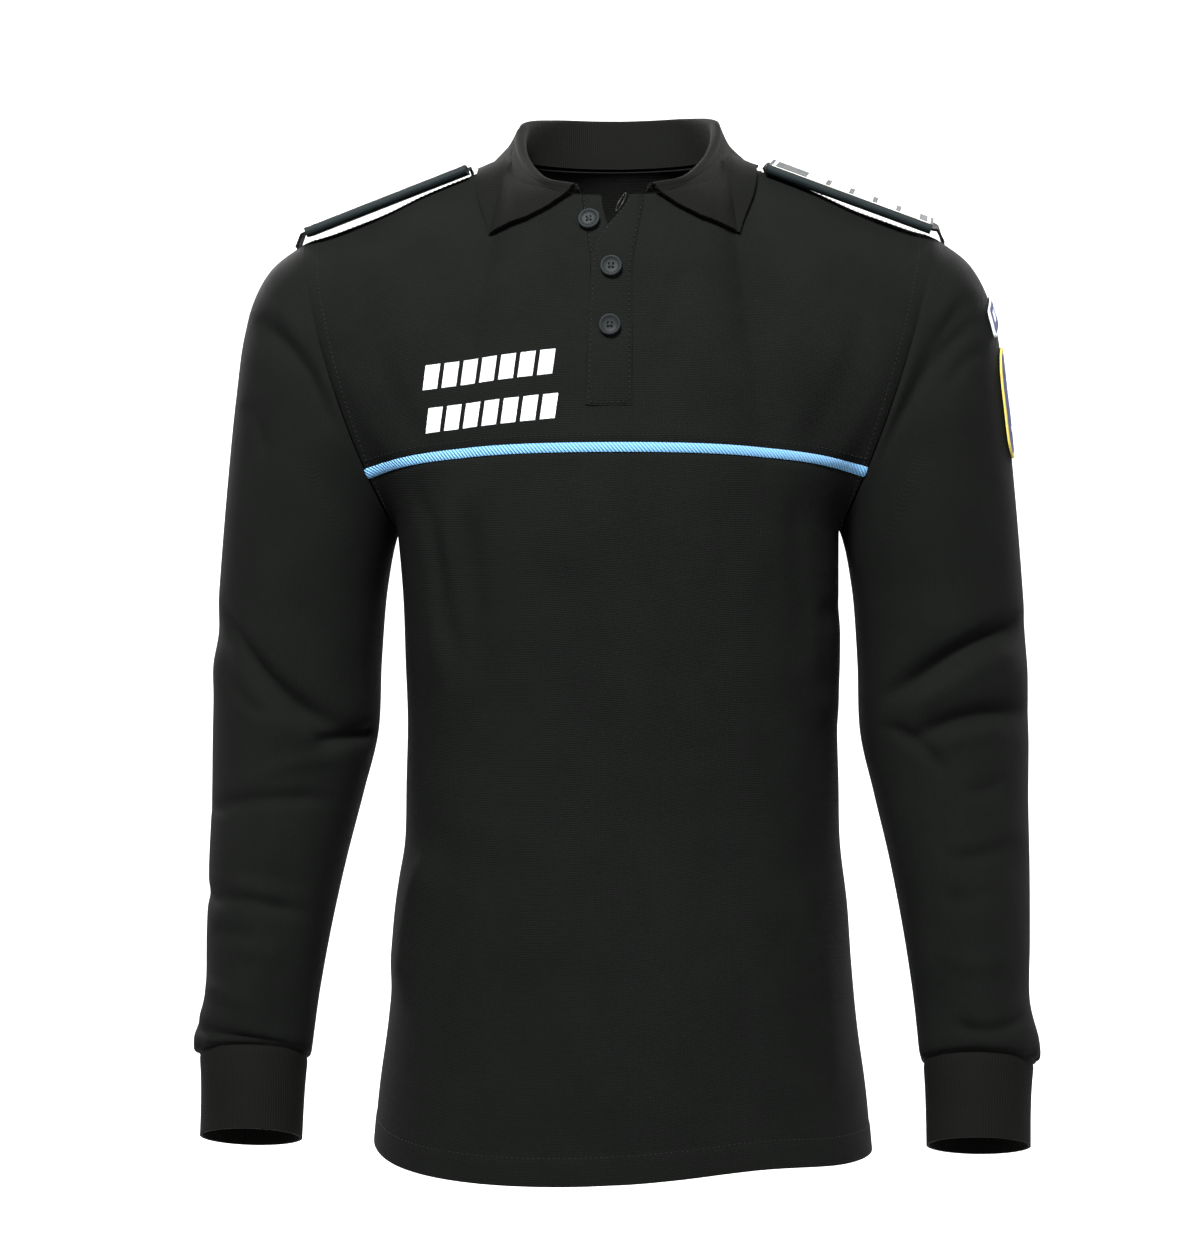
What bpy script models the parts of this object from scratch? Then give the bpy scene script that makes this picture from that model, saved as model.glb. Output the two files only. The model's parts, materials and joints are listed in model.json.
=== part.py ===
"""Long-sleeved police uniform polo shirt, filled out as it is worn, with no wearer in it.

Metres, Z up, front towards -Y, the wearer's left at +X. The origin is the middle of the neck, at
the height where the shoulder seams meet the collar. Every cloth piece is a closed wall: an outer
grid of points worked out from a surface function, and an inner one set in by the wall's thickness.
"""
import math

import bmesh
import bpy
import numpy as np
from mathutils import Matrix, Vector
from mathutils.bvhtree import BVHTree

PIQUE = 0.0015
RIB = 0.0019
STRAP_CLOTH = 0.002
PATCH_CLOTH = 0.0012
SEAM = 0.00015
LAYER_GAP = 0.0003
PATCH_GAP = 0.0009

SHOULDER_X, SHOULDER_Z = 0.225, -0.058
ARMPIT_X, ARMPIT_Z = 0.158, -0.268
ARMHOLE_DEPTH = 0.066
ARMHOLE_SCOOP = 0.006

NECK_HALF_WIDTH = 0.075
NECK_FRONT_Y, NECK_FRONT_Z = -0.078, -0.040
NECK_BACK_Y, NECK_BACK_Z = 0.062, 0.004
NECK_SHARE = 0.43
NECK_DIP = 0.7
SECTION_POWER = 2.3

PIPING_TOP = -0.2124
PIPING_DROP = 0.0135
PIPING_HEIGHT = 0.0067
PIPING_RAISE = 0.0005

PLACKET_BOTTOM = -0.188
PLACKET_LIFT = 0.0018
PLACKET_SINK = 0.0020
PLACKET_TURN = 2.5
TOP_BAND_SHARE = 0.040
UNDER_BAND_SHARE = 0.036
UNDER_BAND_TOP_SHARE = -0.030

BUTTON_RADIUS = 0.0075
BUTTON_HEIGHT = 0.0026
BUTTON_GAP = 0.0005
BUTTON_HOLES = 4
BUTTON_HOLE_SPREAD = 0.0018
BUTTON_HOLE_RADIUS = 0.0009
BUTTON_PROFILE = (
    (0.0, 0.0), (0.90, 0.0), (1.0, 0.32), (1.0, 0.75),
    (0.90, 1.0), (0.74, 0.92), (0.62, 0.70), (0.0, 0.66),
)


def table(names, *rows):
    """A short table with named columns: one array for each name."""
    return {name: np.array(values) for name, values in zip(names.split(), zip(*rows))}


TORSO = table(
    "z       half_width  front   back    middle",
    (-0.268, 0.1580, 0.1150, 0.1120, 0.000),
    (-0.317, 0.1560, 0.1130, 0.1080, 0.002),
    (-0.360, 0.1555, 0.1100, 0.1020, 0.003),
    (-0.403, 0.1540, 0.1070, 0.0970, 0.003),
    (-0.447, 0.1550, 0.1050, 0.0950, 0.003),
    (-0.490, 0.1560, 0.1060, 0.0970, 0.003),
    (-0.533, 0.1610, 0.1080, 0.1020, 0.003),
    (-0.576, 0.1640, 0.1100, 0.1080, 0.003),
    (-0.619, 0.1680, 0.1120, 0.1130, 0.003),
    (-0.663, 0.1740, 0.1140, 0.1170, 0.003),
    (-0.715, 0.1790, 0.1160, 0.1200, 0.003),
)
HEM = table(
    "share   front_z  back_z",
    (-1.00, -0.7010, -0.7010),
    (-0.60, -0.7105, -0.7060),
    (-0.10, -0.7115, -0.7080),
    (0.35, -0.7015, -0.7080),
    (0.65, -0.7055, -0.7075),
    (1.00, -0.7080, -0.7080),
)
SHOULDER_SEAM = table(
    "x      z",
    (0.075, 0.0000),
    (0.111, -0.0130),
    (0.142, -0.0250),
    (0.166, -0.0360),
    (0.192, -0.0460),
    (0.225, -0.0580),
)
SLEEVE = table(
    "outer_x  outer_z   inner_x  inner_z   y       half_depth  lean",
    (0.2250, -0.0580, 0.1580, -0.2680, 0.000, 0.0660, 0),
    (0.2520, -0.0800, 0.1600, -0.2710, 0.000, 0.0670, 0),
    (0.2680, -0.1160, 0.1615, -0.2760, 0.000, 0.0680, 0),
    (0.2760, -0.1710, 0.1635, -0.2840, 0.000, 0.0690, 0),
    (0.2820, -0.2310, 0.1660, -0.2980, 0.000, 0.0690, 0),
    (0.2870, -0.2910, 0.1690, -0.3210, 0.000, 0.0680, 0),
    (0.2905, -0.3510, 0.1715, -0.3630, -0.003, 0.0660, 1),
    (0.2915, -0.4110, 0.1730, -0.4110, -0.008, 0.0630, 5),
    (0.2900, -0.4600, 0.1820, -0.4530, -0.018, 0.0590, 10),
    (0.2890, -0.5080, 0.1920, -0.4980, -0.032, 0.0560, 15),
    (0.2870, -0.5540, 0.1998, -0.5430, -0.048, 0.0510, 18),
    (0.2850, -0.5930, 0.2054, -0.5850, -0.062, 0.0460, 20),
    (0.2900, -0.6180, 0.2080, -0.6140, -0.071, 0.0440, 21),
    (0.2900, -0.6290, 0.2090, -0.6270, -0.075, 0.0425, 22),
    (0.2860, -0.6330, 0.2115, -0.6320, -0.076, 0.0380, 22),
)
CUFF_LEAN = math.radians(22)
CUFF = table(
    "outer_x  outer_z   inner_x  inner_z   y       half_depth  lean",
    (0.2860, -0.6330, 0.2115, -0.6320, -0.0760, 0.0380, 22),
    (0.2835, -0.6500, 0.2120, -0.6490, -0.0830, 0.0370, 22),
    (0.2820, -0.6670, 0.2120, -0.6660, -0.0895, 0.0365, 22),
    (0.2810, -0.6850, 0.2117, -0.6840, -0.0965, 0.0365, 22),
)


def curve(knots, values, at):
    """A smooth curve through the values: cubic pieces with central-difference slopes."""
    slopes = np.gradient(values, knots)
    at = np.clip(at, knots[0], knots[-1])
    piece = np.clip(np.searchsorted(knots, at, side="right") - 1, 0, len(knots) - 2)
    step = knots[piece + 1] - knots[piece]
    t = (at - knots[piece]) / step
    start, end = values[piece], values[piece + 1]
    return hermite(start, slopes[piece] * step, end, slopes[piece + 1] * step, t)


def hermite(start, start_rate, end, end_rate, t):
    """A cubic from start to end with the given rates at both ends."""
    return (start * (1 + 2 * t) * (1 - t) ** 2 + start_rate * t * (1 - t) ** 2
            + end * t * t * (3 - 2 * t) - end_rate * t * t * (1 - t))


def blend(low, high, t):
    """A smooth step from 0 at low to 1 at high."""
    t = np.clip((t - low) / (high - low), 0, 1)
    return t * t * (3 - 2 * t)


def xyz(x, y, z):
    """Points from three arrays or numbers of matching shape."""
    return np.stack(np.broadcast_arrays(x, y, z), axis=-1).astype(float)


def unit(vectors):
    """The vectors at length one."""
    return vectors / np.linalg.norm(vectors, axis=-1, keepdims=True)


def power(base, exponent):
    """A power that keeps the sign of its base."""
    return np.sign(base) * np.abs(base) ** exponent


def normals_of(surface, u, s, step=0.002):
    """Unit normals of a surface function, on the side where u, s and the normal are right-handed."""
    along = surface(u + step, s) - surface(u - step, s)
    up = surface(u, s + step) - surface(u, s - step)
    return unit(np.cross(along, up))


ARM_AXIS = np.array([(SHOULDER_X - ARMPIT_X) / 2, 0, (SHOULDER_Z - ARMPIT_Z) / 2])
ARM_UP = unit(ARM_AXIS)
ARM_OUT = np.array([ARM_UP[2], 0, -ARM_UP[0]])


def torso_section(share, z, side):
    """A point on the round of the body at one height. share runs -1 to 1 across front or back."""
    angle = np.clip(share, -1, 1) * math.pi / 2
    over = share - np.clip(share, -1, 1)
    knots = -TORSO["z"]
    half = curve(knots, TORSO["half_width"], -z)
    deep = curve(knots, TORSO["front" if side < 0 else "back"], -z)
    middle = curve(knots, TORSO["middle"], -z)
    exponent = 2 / SECTION_POWER
    x = middle + half * power(np.sin(angle), exponent)
    y = side * deep * (power(np.cos(angle), exponent) - 2 * np.abs(over))
    return xyz(x, y, z)


def top_edge(share, side):
    """The neckline near the middle, then the shoulder seam, and the cloth's rate of climb there."""
    reach = np.abs(share)
    sign = np.where(share < 0, -1.0, 1.0)
    turn = np.clip(reach / NECK_SHARE, 0, 1) * math.pi / 2
    neck_y, neck_z = (NECK_FRONT_Y, NECK_FRONT_Z) if side < 0 else (NECK_BACK_Y, NECK_BACK_Z)
    out = np.clip((reach - NECK_SHARE) / (1 - NECK_SHARE), 0, 1.2)
    seam_x = NECK_HALF_WIDTH + out * (SHOULDER_X - NECK_HALF_WIDTH)
    seam_z = curve(SHOULDER_SEAM["x"], SHOULDER_SEAM["z"], seam_x)
    on_neck = reach < NECK_SHARE
    x = sign * np.where(on_neck, NECK_HALF_WIDTH * np.sin(turn), seam_x)
    y = np.where(on_neck, neck_y * np.cos(turn), 0)
    z = np.where(on_neck, neck_z * np.cos(turn) ** NECK_DIP, seam_z)
    middle_rate = xyz(0, 0.065, 0.19) if side < 0 else xyz(0, -0.11, 0.13)
    seam_rate = xyz(0, -side * 0.19, 0)
    weight = (np.sin(turn) ** 2)[..., None]
    return xyz(x, y, z), middle_rate * (1 - weight) + seam_rate * weight


def torso_panel(share, climb, side):
    """Front (side -1) or back (side 1). climb is -1 at the hem, 0 at the armpit, 1 at the top."""
    share, climb = np.broadcast_arrays(np.asarray(share, float), np.asarray(climb, float))
    sign = np.where(share < 0, -1.0, 1.0)
    reach = np.clip(np.abs(share), 0, 1)
    hem_z = curve(HEM["share"], HEM["front_z" if side < 0 else "back_z"], np.clip(share, -1, 1))
    lower = torso_section(share, ARMPIT_Z + np.clip(climb, -1.01, 0) * (ARMPIT_Z - hem_z), side)

    rise = np.clip(climb, 0, 1)
    over_top = np.clip(climb - 1, 0, 0.1)[..., None]
    edge = reach[..., None] ** 5
    base = torso_section(share, np.full_like(share, ARMPIT_Z), side)
    below = torso_section(share, np.full_like(share, ARMPIT_Z - 0.004), side)
    top, top_rate = top_edge(share, side)
    chord = top - base
    base_rate = (base - below) / 0.004 * (0.16 + 0.05 * edge)
    base_rate = base_rate * (1 - edge) + chord * edge
    top_rate = top_rate * (1 - edge) + chord * edge
    hug = reach ** 2.5
    steady = (1 - hug) * rise + hug * (1 - np.cos(math.pi * rise)) / 2
    upper = hermite(base, base_rate, top, top_rate, steady[..., None])
    upper = upper + top_rate * over_top
    swing = np.sin(math.pi * rise)
    bulge = hug * swing ** (1.8 - 0.8 * reach ** 8)
    upper[..., 1] += side * ARMHOLE_DEPTH * bulge
    upper[..., 1] -= side * ARMHOLE_DEPTH * hug * math.pi * over_top[..., 0]
    scoop = hug * ARMHOLE_SCOOP * swing ** 2
    upper[..., 0] += sign * scoop * ARM_OUT[0]
    upper[..., 2] += scoop * ARM_OUT[2]
    return np.where((climb < 0)[..., None], lower, upper)


def front(share, climb):
    """The shirt's front as one surface."""
    return torso_panel(share, climb, -1)


def back(share, climb):
    """The shirt's back as one surface, with share turned round so that normals point out."""
    return torso_panel(-np.asarray(share, float), climb, 1)


def tube_point(rows, turn, row, scoop=0.0):
    """A point on the wearer's left sleeve or cuff. turn is 0 at the outer line, pi at the inner."""
    knots = np.arange(len(rows["y"]), dtype=float)
    value = {name: curve(knots, column, row) for name, column in rows.items()}
    middle = xyz((value["outer_x"] + value["inner_x"]) / 2, value["y"],
                 (value["outer_z"] + value["inner_z"]) / 2)
    half = xyz((value["outer_x"] - value["inner_x"]) / 2, 0,
               (value["outer_z"] - value["inner_z"]) / 2)
    lean = np.radians(value["lean"])
    ahead = xyz(0, -np.cos(lean), np.sin(lean)) * value["half_depth"][..., None]
    out = scoop * np.sin(turn) ** 2 * np.clip(1 - row / 3, 0, 1)
    return (middle + half * np.cos(turn)[..., None] + ahead * np.sin(turn)[..., None]
            + out[..., None] * ARM_OUT)


def sleeve(turn, row):
    """The wearer's left sleeve as one surface, from the armhole to the cuff."""
    turn, row = np.broadcast_arrays(np.asarray(turn, float), np.asarray(row, float))
    return tube_point(SLEEVE, turn, row, ARMHOLE_SCOOP)


def cuff(turn, row):
    """The wearer's left cuff as one surface."""
    turn, row = np.broadcast_arrays(np.asarray(turn, float), np.asarray(row, float))
    return tube_point(CUFF, turn, row)


def climb_at(surface, share, height):
    """The climb at which each column of the front or back reaches a height."""
    steps = np.linspace(0, 1, 161)
    heights = surface(share[:, None], steps[None, :])[..., 2]
    return np.array([np.interp(z, column, steps) for z, column in zip(height, heights)])


def torso_grid(side, share, climb):
    """Outer points and wall normals of a torso piece, set back by half a gap along its seams."""
    surface = front if side < 0 else back
    points = surface(share, climb)
    normals = normals_of(surface, share, climb)
    turned = share * -side
    sign = np.sign(turned)[..., None]
    at_edge = (np.abs(share) > 0.999)[..., None]
    side_seam = at_edge & (climb <= 0.001)[..., None]
    armhole = at_edge & ~side_seam
    shoulder = ((climb > 0.999) & (np.abs(share) > NECK_SHARE - 0.01))[..., None]
    flat = normals * [1, 0, 1]
    normals = np.where(side_seam | shoulder, unit(flat), normals)
    out = ARM_OUT * np.concatenate([sign, sign, np.ones_like(sign)], axis=-1)
    leaning = np.minimum((normals * out).sum(-1, keepdims=True), 0)
    normals = np.where(armhole, unit(normals - leaning * out), normals)
    points = points + np.where(side_seam | shoulder, [0.0, side * SEAM, 0.0], [0.0, 0.0, 0.0])
    points = points - np.where(armhole, SEAM * out, 0 * out)
    return points, normals


def add_mesh(name, vertices, faces, material):
    """A closed mesh object of its own, shaded smooth with sharp rims."""
    mesh = bpy.data.meshes.new(name)
    mesh.from_pydata([tuple(map(float, point)) for point in vertices], [], faces)
    body = bmesh.new()
    body.from_mesh(mesh)
    loose = [vertex for vertex in body.verts if not vertex.link_faces]
    bmesh.ops.delete(body, geom=loose, context="VERTS")
    body.to_mesh(mesh)
    body.free()
    mesh.shade_smooth()
    mesh.set_sharp_from_angle(angle=math.radians(45))
    mesh.materials.append(material)
    thing = bpy.data.objects.new(name, mesh)
    bpy.context.collection.objects.link(thing)
    return thing


def wall(name, outer, normals, thick, material, closed=False, hole=None):
    """A closed wall: the outer grid, the inner one, and a rim round every open edge."""
    rows, columns = outer.shape[:2]
    vertices = np.concatenate([outer.reshape(-1, 3), (outer - thick * normals).reshape(-1, 3)])
    count = rows * columns
    faces = []
    for i in range(rows - 1):
        for j in range(columns if closed else columns - 1):
            if hole is not None and hole(i, j):
                continue
            k = (j + 1) % columns
            faces.append((i * columns + j, i * columns + k, (i + 1) * columns + k, (i + 1) * columns + j))
    edges = {(face[n], face[(n + 1) % 4]) for face in faces for n in range(4)}
    rims = [(b, a, a + count, b + count) for a, b in edges if (b, a) not in edges]
    inner = [tuple(index + count for index in reversed(face)) for face in faces]
    return add_mesh(name, vertices, faces + inner + sorted(rims), material)


def mirrored(points):
    """The same points on the wearer's right."""
    return points * [-1, 1, 1]


SLIT_SHARE = 0.049
SLIT_SHARE_TOP = 0.078
SLIT_GAP = 0.0006
SIDE_COLUMNS = 13
LOWER_ROWS = 13
TURN_STEPS = 13


def slit_share(climb):
    """How far the placket's slit reaches each side of the middle: it opens at the top."""
    return SLIT_SHARE + (SLIT_SHARE_TOP - SLIT_SHARE) * blend(0.72, 1.0, climb)


def seam_height(share):
    """The height of the chest seam, which runs lower towards the armholes."""
    return PIPING_TOP - PIPING_DROP * share ** 2


def side_spread(count):
    """Shares from the slit's edge (0) out to the armhole (1), evenly spaced."""
    return np.linspace(0, 1, count + 1)


def yoke_shares(climb):
    """One row of shares across the yoke: the left side, three cells in the middle, the right."""
    edge = slit_share(climb) + SLIT_GAP
    right = edge + (1 - edge) * side_spread(SIDE_COLUMNS)
    middle = edge * np.array([-1 / 3, 1 / 3])
    return np.concatenate([-right[::-1], middle, right])


def build_front(materials):
    """The yoke with its slit, the piping, and the lower front."""
    shares = yoke_shares(0.0)
    seam = climb_at(front, shares, seam_height(shares) + SEAM)
    slit_foot = climb_at(front, shares, np.full_like(shares, PLACKET_BOTTOM) - PIPING_DROP * shares ** 2)
    ladder = [seam, (seam + slit_foot) / 2, slit_foot]
    steps = np.linspace(0, 1, 12)[1:]
    ladder += [slit_foot + (1 - slit_foot) * step for step in steps]
    climb = np.array(ladder)
    share = np.array([yoke_shares(row[len(shares) // 2]) for row in climb])
    points, normals = torso_grid(-1, share, climb)
    slit_row = 2
    middle = range(SIDE_COLUMNS, SIDE_COLUMNS + 3)
    wall("front_yoke", points, normals, PIQUE, materials["pique"],
         hole=lambda i, j: i >= slit_row and j in middle)

    shares = np.linspace(-1, 1, 29)
    top = climb_at(front, shares, seam_height(shares) - SEAM)
    foot = climb_at(front, shares, seam_height(shares) - PIPING_HEIGHT + SEAM)
    climb = np.array([foot, (foot + top) / 2, top])
    share = np.broadcast_to(shares, climb.shape)
    points, normals = torso_grid(-1, share, climb)
    points[1] += normals[1] * PIPING_RAISE
    wall("chest_piping", points, normals, PIQUE, materials["piping"])

    top = climb_at(front, shares, seam_height(shares) - PIPING_HEIGHT - SEAM)
    lower = [np.full_like(shares, step) for step in np.linspace(-1, 0, LOWER_ROWS + 1)]
    climb = np.array(lower + [top * 0.4, top * 0.7, top])
    share = np.broadcast_to(shares, climb.shape)
    points, normals = torso_grid(-1, share, climb)
    points = points + normals * fold_height(FRONT_FOLDS, points)[..., None]
    wall("front_lower", points, normals, PIQUE, materials["pique"])


def build_back(materials):
    """The back in one piece, from hem to neckline and shoulder seams."""
    shares = np.linspace(-1, 1, 25)
    steps = np.concatenate([np.linspace(-1, 0, LOWER_ROWS + 1), np.linspace(0, 1, TURN_STEPS + 1)[1:]])
    share, climb = np.meshgrid(shares, steps)
    points, normals = torso_grid(1, share, climb)
    wall("back_panel", points, normals, PIQUE, materials["pique"])


FOLD_COLUMNS = "start_x start_z end_x end_z bow width depth"
FRONT_FOLDS = table(
    FOLD_COLUMNS,
    (-0.126, -0.250, -0.118, -0.372, -0.006, 0.014, 0.0030),
    (-0.104, -0.262, -0.098, -0.365, -0.004, 0.012, -0.0020),
    (-0.132, -0.500, -0.150, -0.590, 0.004, 0.016, 0.0025),
    (0.147, -0.330, 0.146, -0.400, 0.004, 0.012, 0.0020),
)
SLEEVE_FOLDS = {
    "right": table(
        FOLD_COLUMNS,
        (-0.290, -0.332, -0.208, -0.404, 0.006, 0.012, -0.0045),
        (-0.287, -0.352, -0.222, -0.420, 0.004, 0.014, 0.0030),
        (-0.209, -0.415, -0.176, -0.409, 0.000, 0.010, -0.0030),
        (-0.286, -0.520, -0.214, -0.512, -0.006, 0.011, -0.0030),
        (-0.258, -0.120, -0.196, -0.192, -0.006, 0.013, -0.0030),
    ),
    "left": table(
        FOLD_COLUMNS,
        (0.283, -0.337, 0.198, -0.383, 0.004, 0.013, -0.0050),
        (0.285, -0.395, 0.212, -0.410, 0.004, 0.012, -0.0035),
        (0.284, -0.365, 0.205, -0.395, 0.004, 0.012, 0.0025),
        (0.248, -0.110, 0.196, -0.196, -0.006, 0.013, -0.0030),
        (0.282, -0.495, 0.236, -0.500, 0.000, 0.012, -0.0020),
    ),
}


def fold_height(rows, points):
    """How far each point stands out: soft ridges and troughs, placed as seen from the front."""
    height = np.zeros(points.shape[:-1])
    for values in zip(*rows.values()):
        start_x, start_z, end_x, end_z, bow, width, depth = values
        run_x, run_z = end_x - start_x, end_z - start_z
        length = math.hypot(run_x, run_z)
        ahead = ((points[..., 0] - start_x) * run_x + (points[..., 2] - start_z) * run_z) / length ** 2
        aside = ((points[..., 0] - start_x) * run_z - (points[..., 2] - start_z) * run_x) / length
        aside = aside - bow * 4 * ahead * (1 - ahead)
        fade = blend(-0.15, 0.2, ahead) * blend(-0.15, 0.2, 1 - ahead)
        height += depth * fade * np.exp(-(aside / width) ** 2)
    return height


def build_sleeves(materials):
    """Two sleeves and two cuffs, each a tube of rings."""
    step = np.linspace(0, 1, TURN_STEPS + 1) ** 0.8
    half_turn = math.pi * (1 - step)
    turns = np.concatenate([half_turn, -half_turn[-2:0:-1]])
    rows = np.concatenate([np.linspace(0, 5, 9), np.linspace(5.5, 11, 11), [11.5, 12, 12.5, 13, 13.5, 14]])
    turn, row = np.meshgrid(turns, rows)
    plain = sleeve(turn, row)
    normals = normals_of(sleeve, turn, row)
    leaning = np.maximum((normals[0] * ARM_OUT).sum(-1, keepdims=True), 0)
    normals[0] = unit(normals[0] - leaning * ARM_OUT)
    plain[0] += SEAM * ARM_OUT
    down = unit(xyz(0, -math.sin(CUFF_LEAN), -math.cos(CUFF_LEAN)))
    normals[-1] = unit(normals[-1] - (normals[-1] * down).sum(-1, keepdims=True) * down)
    plain[-1] -= SEAM * down
    ease = blend(0.2, 2.0, row) * blend(0.2, 1.5, 14 - row)

    cuff_rows = np.arange(4.0)
    cuff_turn, cuff_row = np.meshgrid(turns, cuff_rows)
    band = cuff(cuff_turn, cuff_row)
    band_normals = normals_of(cuff, cuff_turn, cuff_row)
    band_normals[0] = normals[-1]
    band[0] += SEAM * down
    for name, place in (("left", lambda points: points), ("right", mirrored)):
        points, facing = place(plain), place(normals)
        front_side = np.clip(-facing[..., 1] * 3 + 0.3, 0, 1)
        height = fold_height(SLEEVE_FOLDS[name], points) * ease * front_side
        points = points + facing * height[..., None]
        order = slice(None, None, -1) if name == "left" else slice(None)
        wall(f"sleeve_{name}", points[:, order], facing[:, order], PIQUE, materials["pique"], closed=True)
        wall(f"cuff_{name}", place(band)[:, order], place(band_normals)[:, order], RIB,
             materials["rib"], closed=True)


def build_placket(materials):
    """The top band laps over the under band; both hang in the yoke's slit, open at the top."""
    steps = np.linspace(0, 1, 13)
    foot = climb_at(front, np.zeros(1), np.array([PLACKET_BOTTOM + 2 * SEAM]))[0]
    climb = (foot + (1 - foot) * steps)[:, None]
    edge = slit_share(climb) - SLIT_GAP
    opening = blend(0.70, 1.0, climb)
    turned = opening ** PLACKET_TURN
    free_top = -SLIT_SHARE * (1 - turned) + TOP_BAND_SHARE * turned
    free_under = UNDER_BAND_SHARE * (1 - opening) + UNDER_BAND_TOP_SHARE * opening
    across = np.linspace(0, 1, 6)[None, :]
    bands = (
        ("placket_top", free_top, edge, PLACKET_LIFT, 0.0),
        ("placket_under", -edge, free_under, 0.0, -PLACKET_SINK),
    )
    for name, low, high, left_offset, right_offset in bands:
        share = low + (high - low) * across
        level = np.broadcast_to(climb, share.shape)
        points, normals = torso_grid(-1, share, level)
        place = np.clip((share + edge) / (2 * edge), 0, 1)
        offset = left_offset * (1 - place) + right_offset * place
        wall(name, points + normals * offset[..., None], normals, PIQUE, materials["pique"])


def locate(surface, x, z, share, climb):
    """The share and climb at which a surface passes through a place seen from the front."""
    for _ in range(30):
        here = surface(share, climb)
        by_share = (surface(share + 0.002, climb) - here) / 0.002
        by_climb = (surface(share, climb + 0.002) - here) / 0.002
        matrix = np.array([[by_share[0], by_climb[0]], [by_share[2], by_climb[2]]])
        step = np.linalg.solve(matrix, np.array([x - here[0], z - here[2]]))
        share, climb = share + 0.7 * step[0], climb + 0.7 * step[1]
    return share, climb


COLLAR_HALF = table(
    "around  fold_x   fold_y   fold_z   edge_share edge_climb",
    (0.00, 0.0000, 0.0680, 0.0390, 0.000, 0.900),
    (0.08, 0.0185, 0.0665, 0.0389, 0.080, 0.900),
    (0.22, 0.0470, 0.0540, 0.0370, 0.220, 0.900),
    (0.36, 0.0660, 0.0300, 0.0300, 0.380, 0.905),
    (0.50, 0.0680, 0.0000, 0.0130, 0.510, 1.000),
    (0.66, 0.0620, -0.0300, -0.0080, 0.515, 0.900),
    (0.82, 0.0480, -0.0580, -0.0270, 0.500, 0.765),
    (1.00, 0.0240, -0.0765, -0.0360, 0.440, 0.635),
)
COLLAR_END_SHARE = 0.086
COLLAR_FOLD_RADIUS = 0.0027
COLLAR_CLEARANCE = 0.0009
COLLAR_INSET = 0.008
COLLAR_SEAT = 0.0008
COLLAR_END_BULGE = 0.007


def collar_point(around, across):
    """The collar's visible side: the stand inside the neck, the fold, and the leaf that falls."""
    reach = np.abs(around)
    sign = np.where(around < 0, -1.0, 1.0)
    row = {name: curve(COLLAR_HALF["around"], column, reach) for name, column in COLLAR_HALF.items()}
    behind = reach < 0.5
    back_share = reach / 0.5 * NECK_SHARE
    front_share = NECK_SHARE - (reach - 0.5) / 0.5 * (NECK_SHARE - COLLAR_END_SHARE)
    seat = np.where(behind[..., None], top_edge(back_share, 1)[0], top_edge(front_share, -1)[0])
    seat = seat * [1 - COLLAR_INSET, 1 - COLLAR_INSET, 1] + [0, 0, COLLAR_SEAT]
    fold = xyz(row["fold_x"], row["fold_y"], row["fold_z"])
    full = np.ones_like(reach)
    edge = np.where(
        behind[..., None],
        torso_panel(row["edge_share"], np.minimum(row["edge_climb"], full), 1),
        torso_panel(row["edge_share"], np.minimum(row["edge_climb"], full), -1))
    away = edge - fold
    away[..., 2] = 0
    away = unit(away)
    up = np.array([0.0, 0.0, 1.0])
    radius = COLLAR_FOLD_RADIUS
    knots = [(0.0, seat), (0.12, (seat + fold) / 2), (0.24, fold)]
    for turn in (45, 90, 135, 180):
        bend = math.radians(turn)
        place = fold + away * radius * (1 - math.cos(bend)) + up * radius * math.sin(bend)
        knots.append((0.24 + 0.16 * turn / 180, place))
    shoulder = knots[-1][1]
    for part_way in (0.25, 0.5, 0.75, 1.0):
        bulge = COLLAR_END_BULGE * math.sin(math.pi * part_way) * blend(0.75, 1.0, reach)
        place = shoulder + (edge - shoulder) * part_way - up * bulge[..., None]
        knots.append((0.4 + 0.6 * part_way, place))
    places = np.array([place for place, _ in knots])
    piece = np.clip(np.searchsorted(places, across, side="right") - 1, 0, len(knots) - 2)
    low = np.choose(piece[..., None], [point for _, point in knots])
    high = np.choose(piece[..., None] + 1, [point for _, point in knots])
    t = (across - places[piece]) / (places[piece + 1] - places[piece])
    point = low + (high - low) * t[..., None]
    return point * xyz(sign, 1, 1)


def outer_tree():
    """A lookup of the nearest place on the upper body and the tops of the sleeves."""
    share, climb = np.meshgrid(np.linspace(-1, 1, 81), np.linspace(0.2, 1, 49))
    turn, row = np.meshgrid(np.linspace(-math.pi, math.pi, 61)[::-1], np.linspace(0, 4, 17))
    arm = sleeve(turn, row)
    grids = (front(share, climb), back(share, climb), arm[:, ::-1], mirrored(arm))
    vertices, faces = [], []
    for grid in grids:
        start = len(vertices)
        rows, columns = grid.shape[:2]
        vertices += [Vector(point) for point in grid.reshape(-1, 3)]
        for i in range(rows - 1):
            for j in range(columns - 1):
                corner = start + i * columns + j
                faces.append((corner, corner + 1, corner + columns + 1, corner + columns))
    return BVHTree.FromPolygons(vertices, faces)


def keep_off(points, tree, clearance):
    """Moves points that lie closer than the clearance out along the nearest face's normal."""
    moved = points.reshape(-1, 3).copy()
    for index, point in enumerate(moved):
        place, normal, _, _ = tree.find_nearest(Vector(point))
        height = (Vector(point) - place).dot(normal)
        if height < clearance:
            moved[index] = np.array(Vector(point) + normal * (clearance - height))
    return moved.reshape(points.shape)


def grid_normals(points):
    """Unit normals of a grid whose columns and rows run so that their cross product points out."""
    return unit(np.cross(np.gradient(points, axis=1), np.gradient(points, axis=0)))


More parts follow.
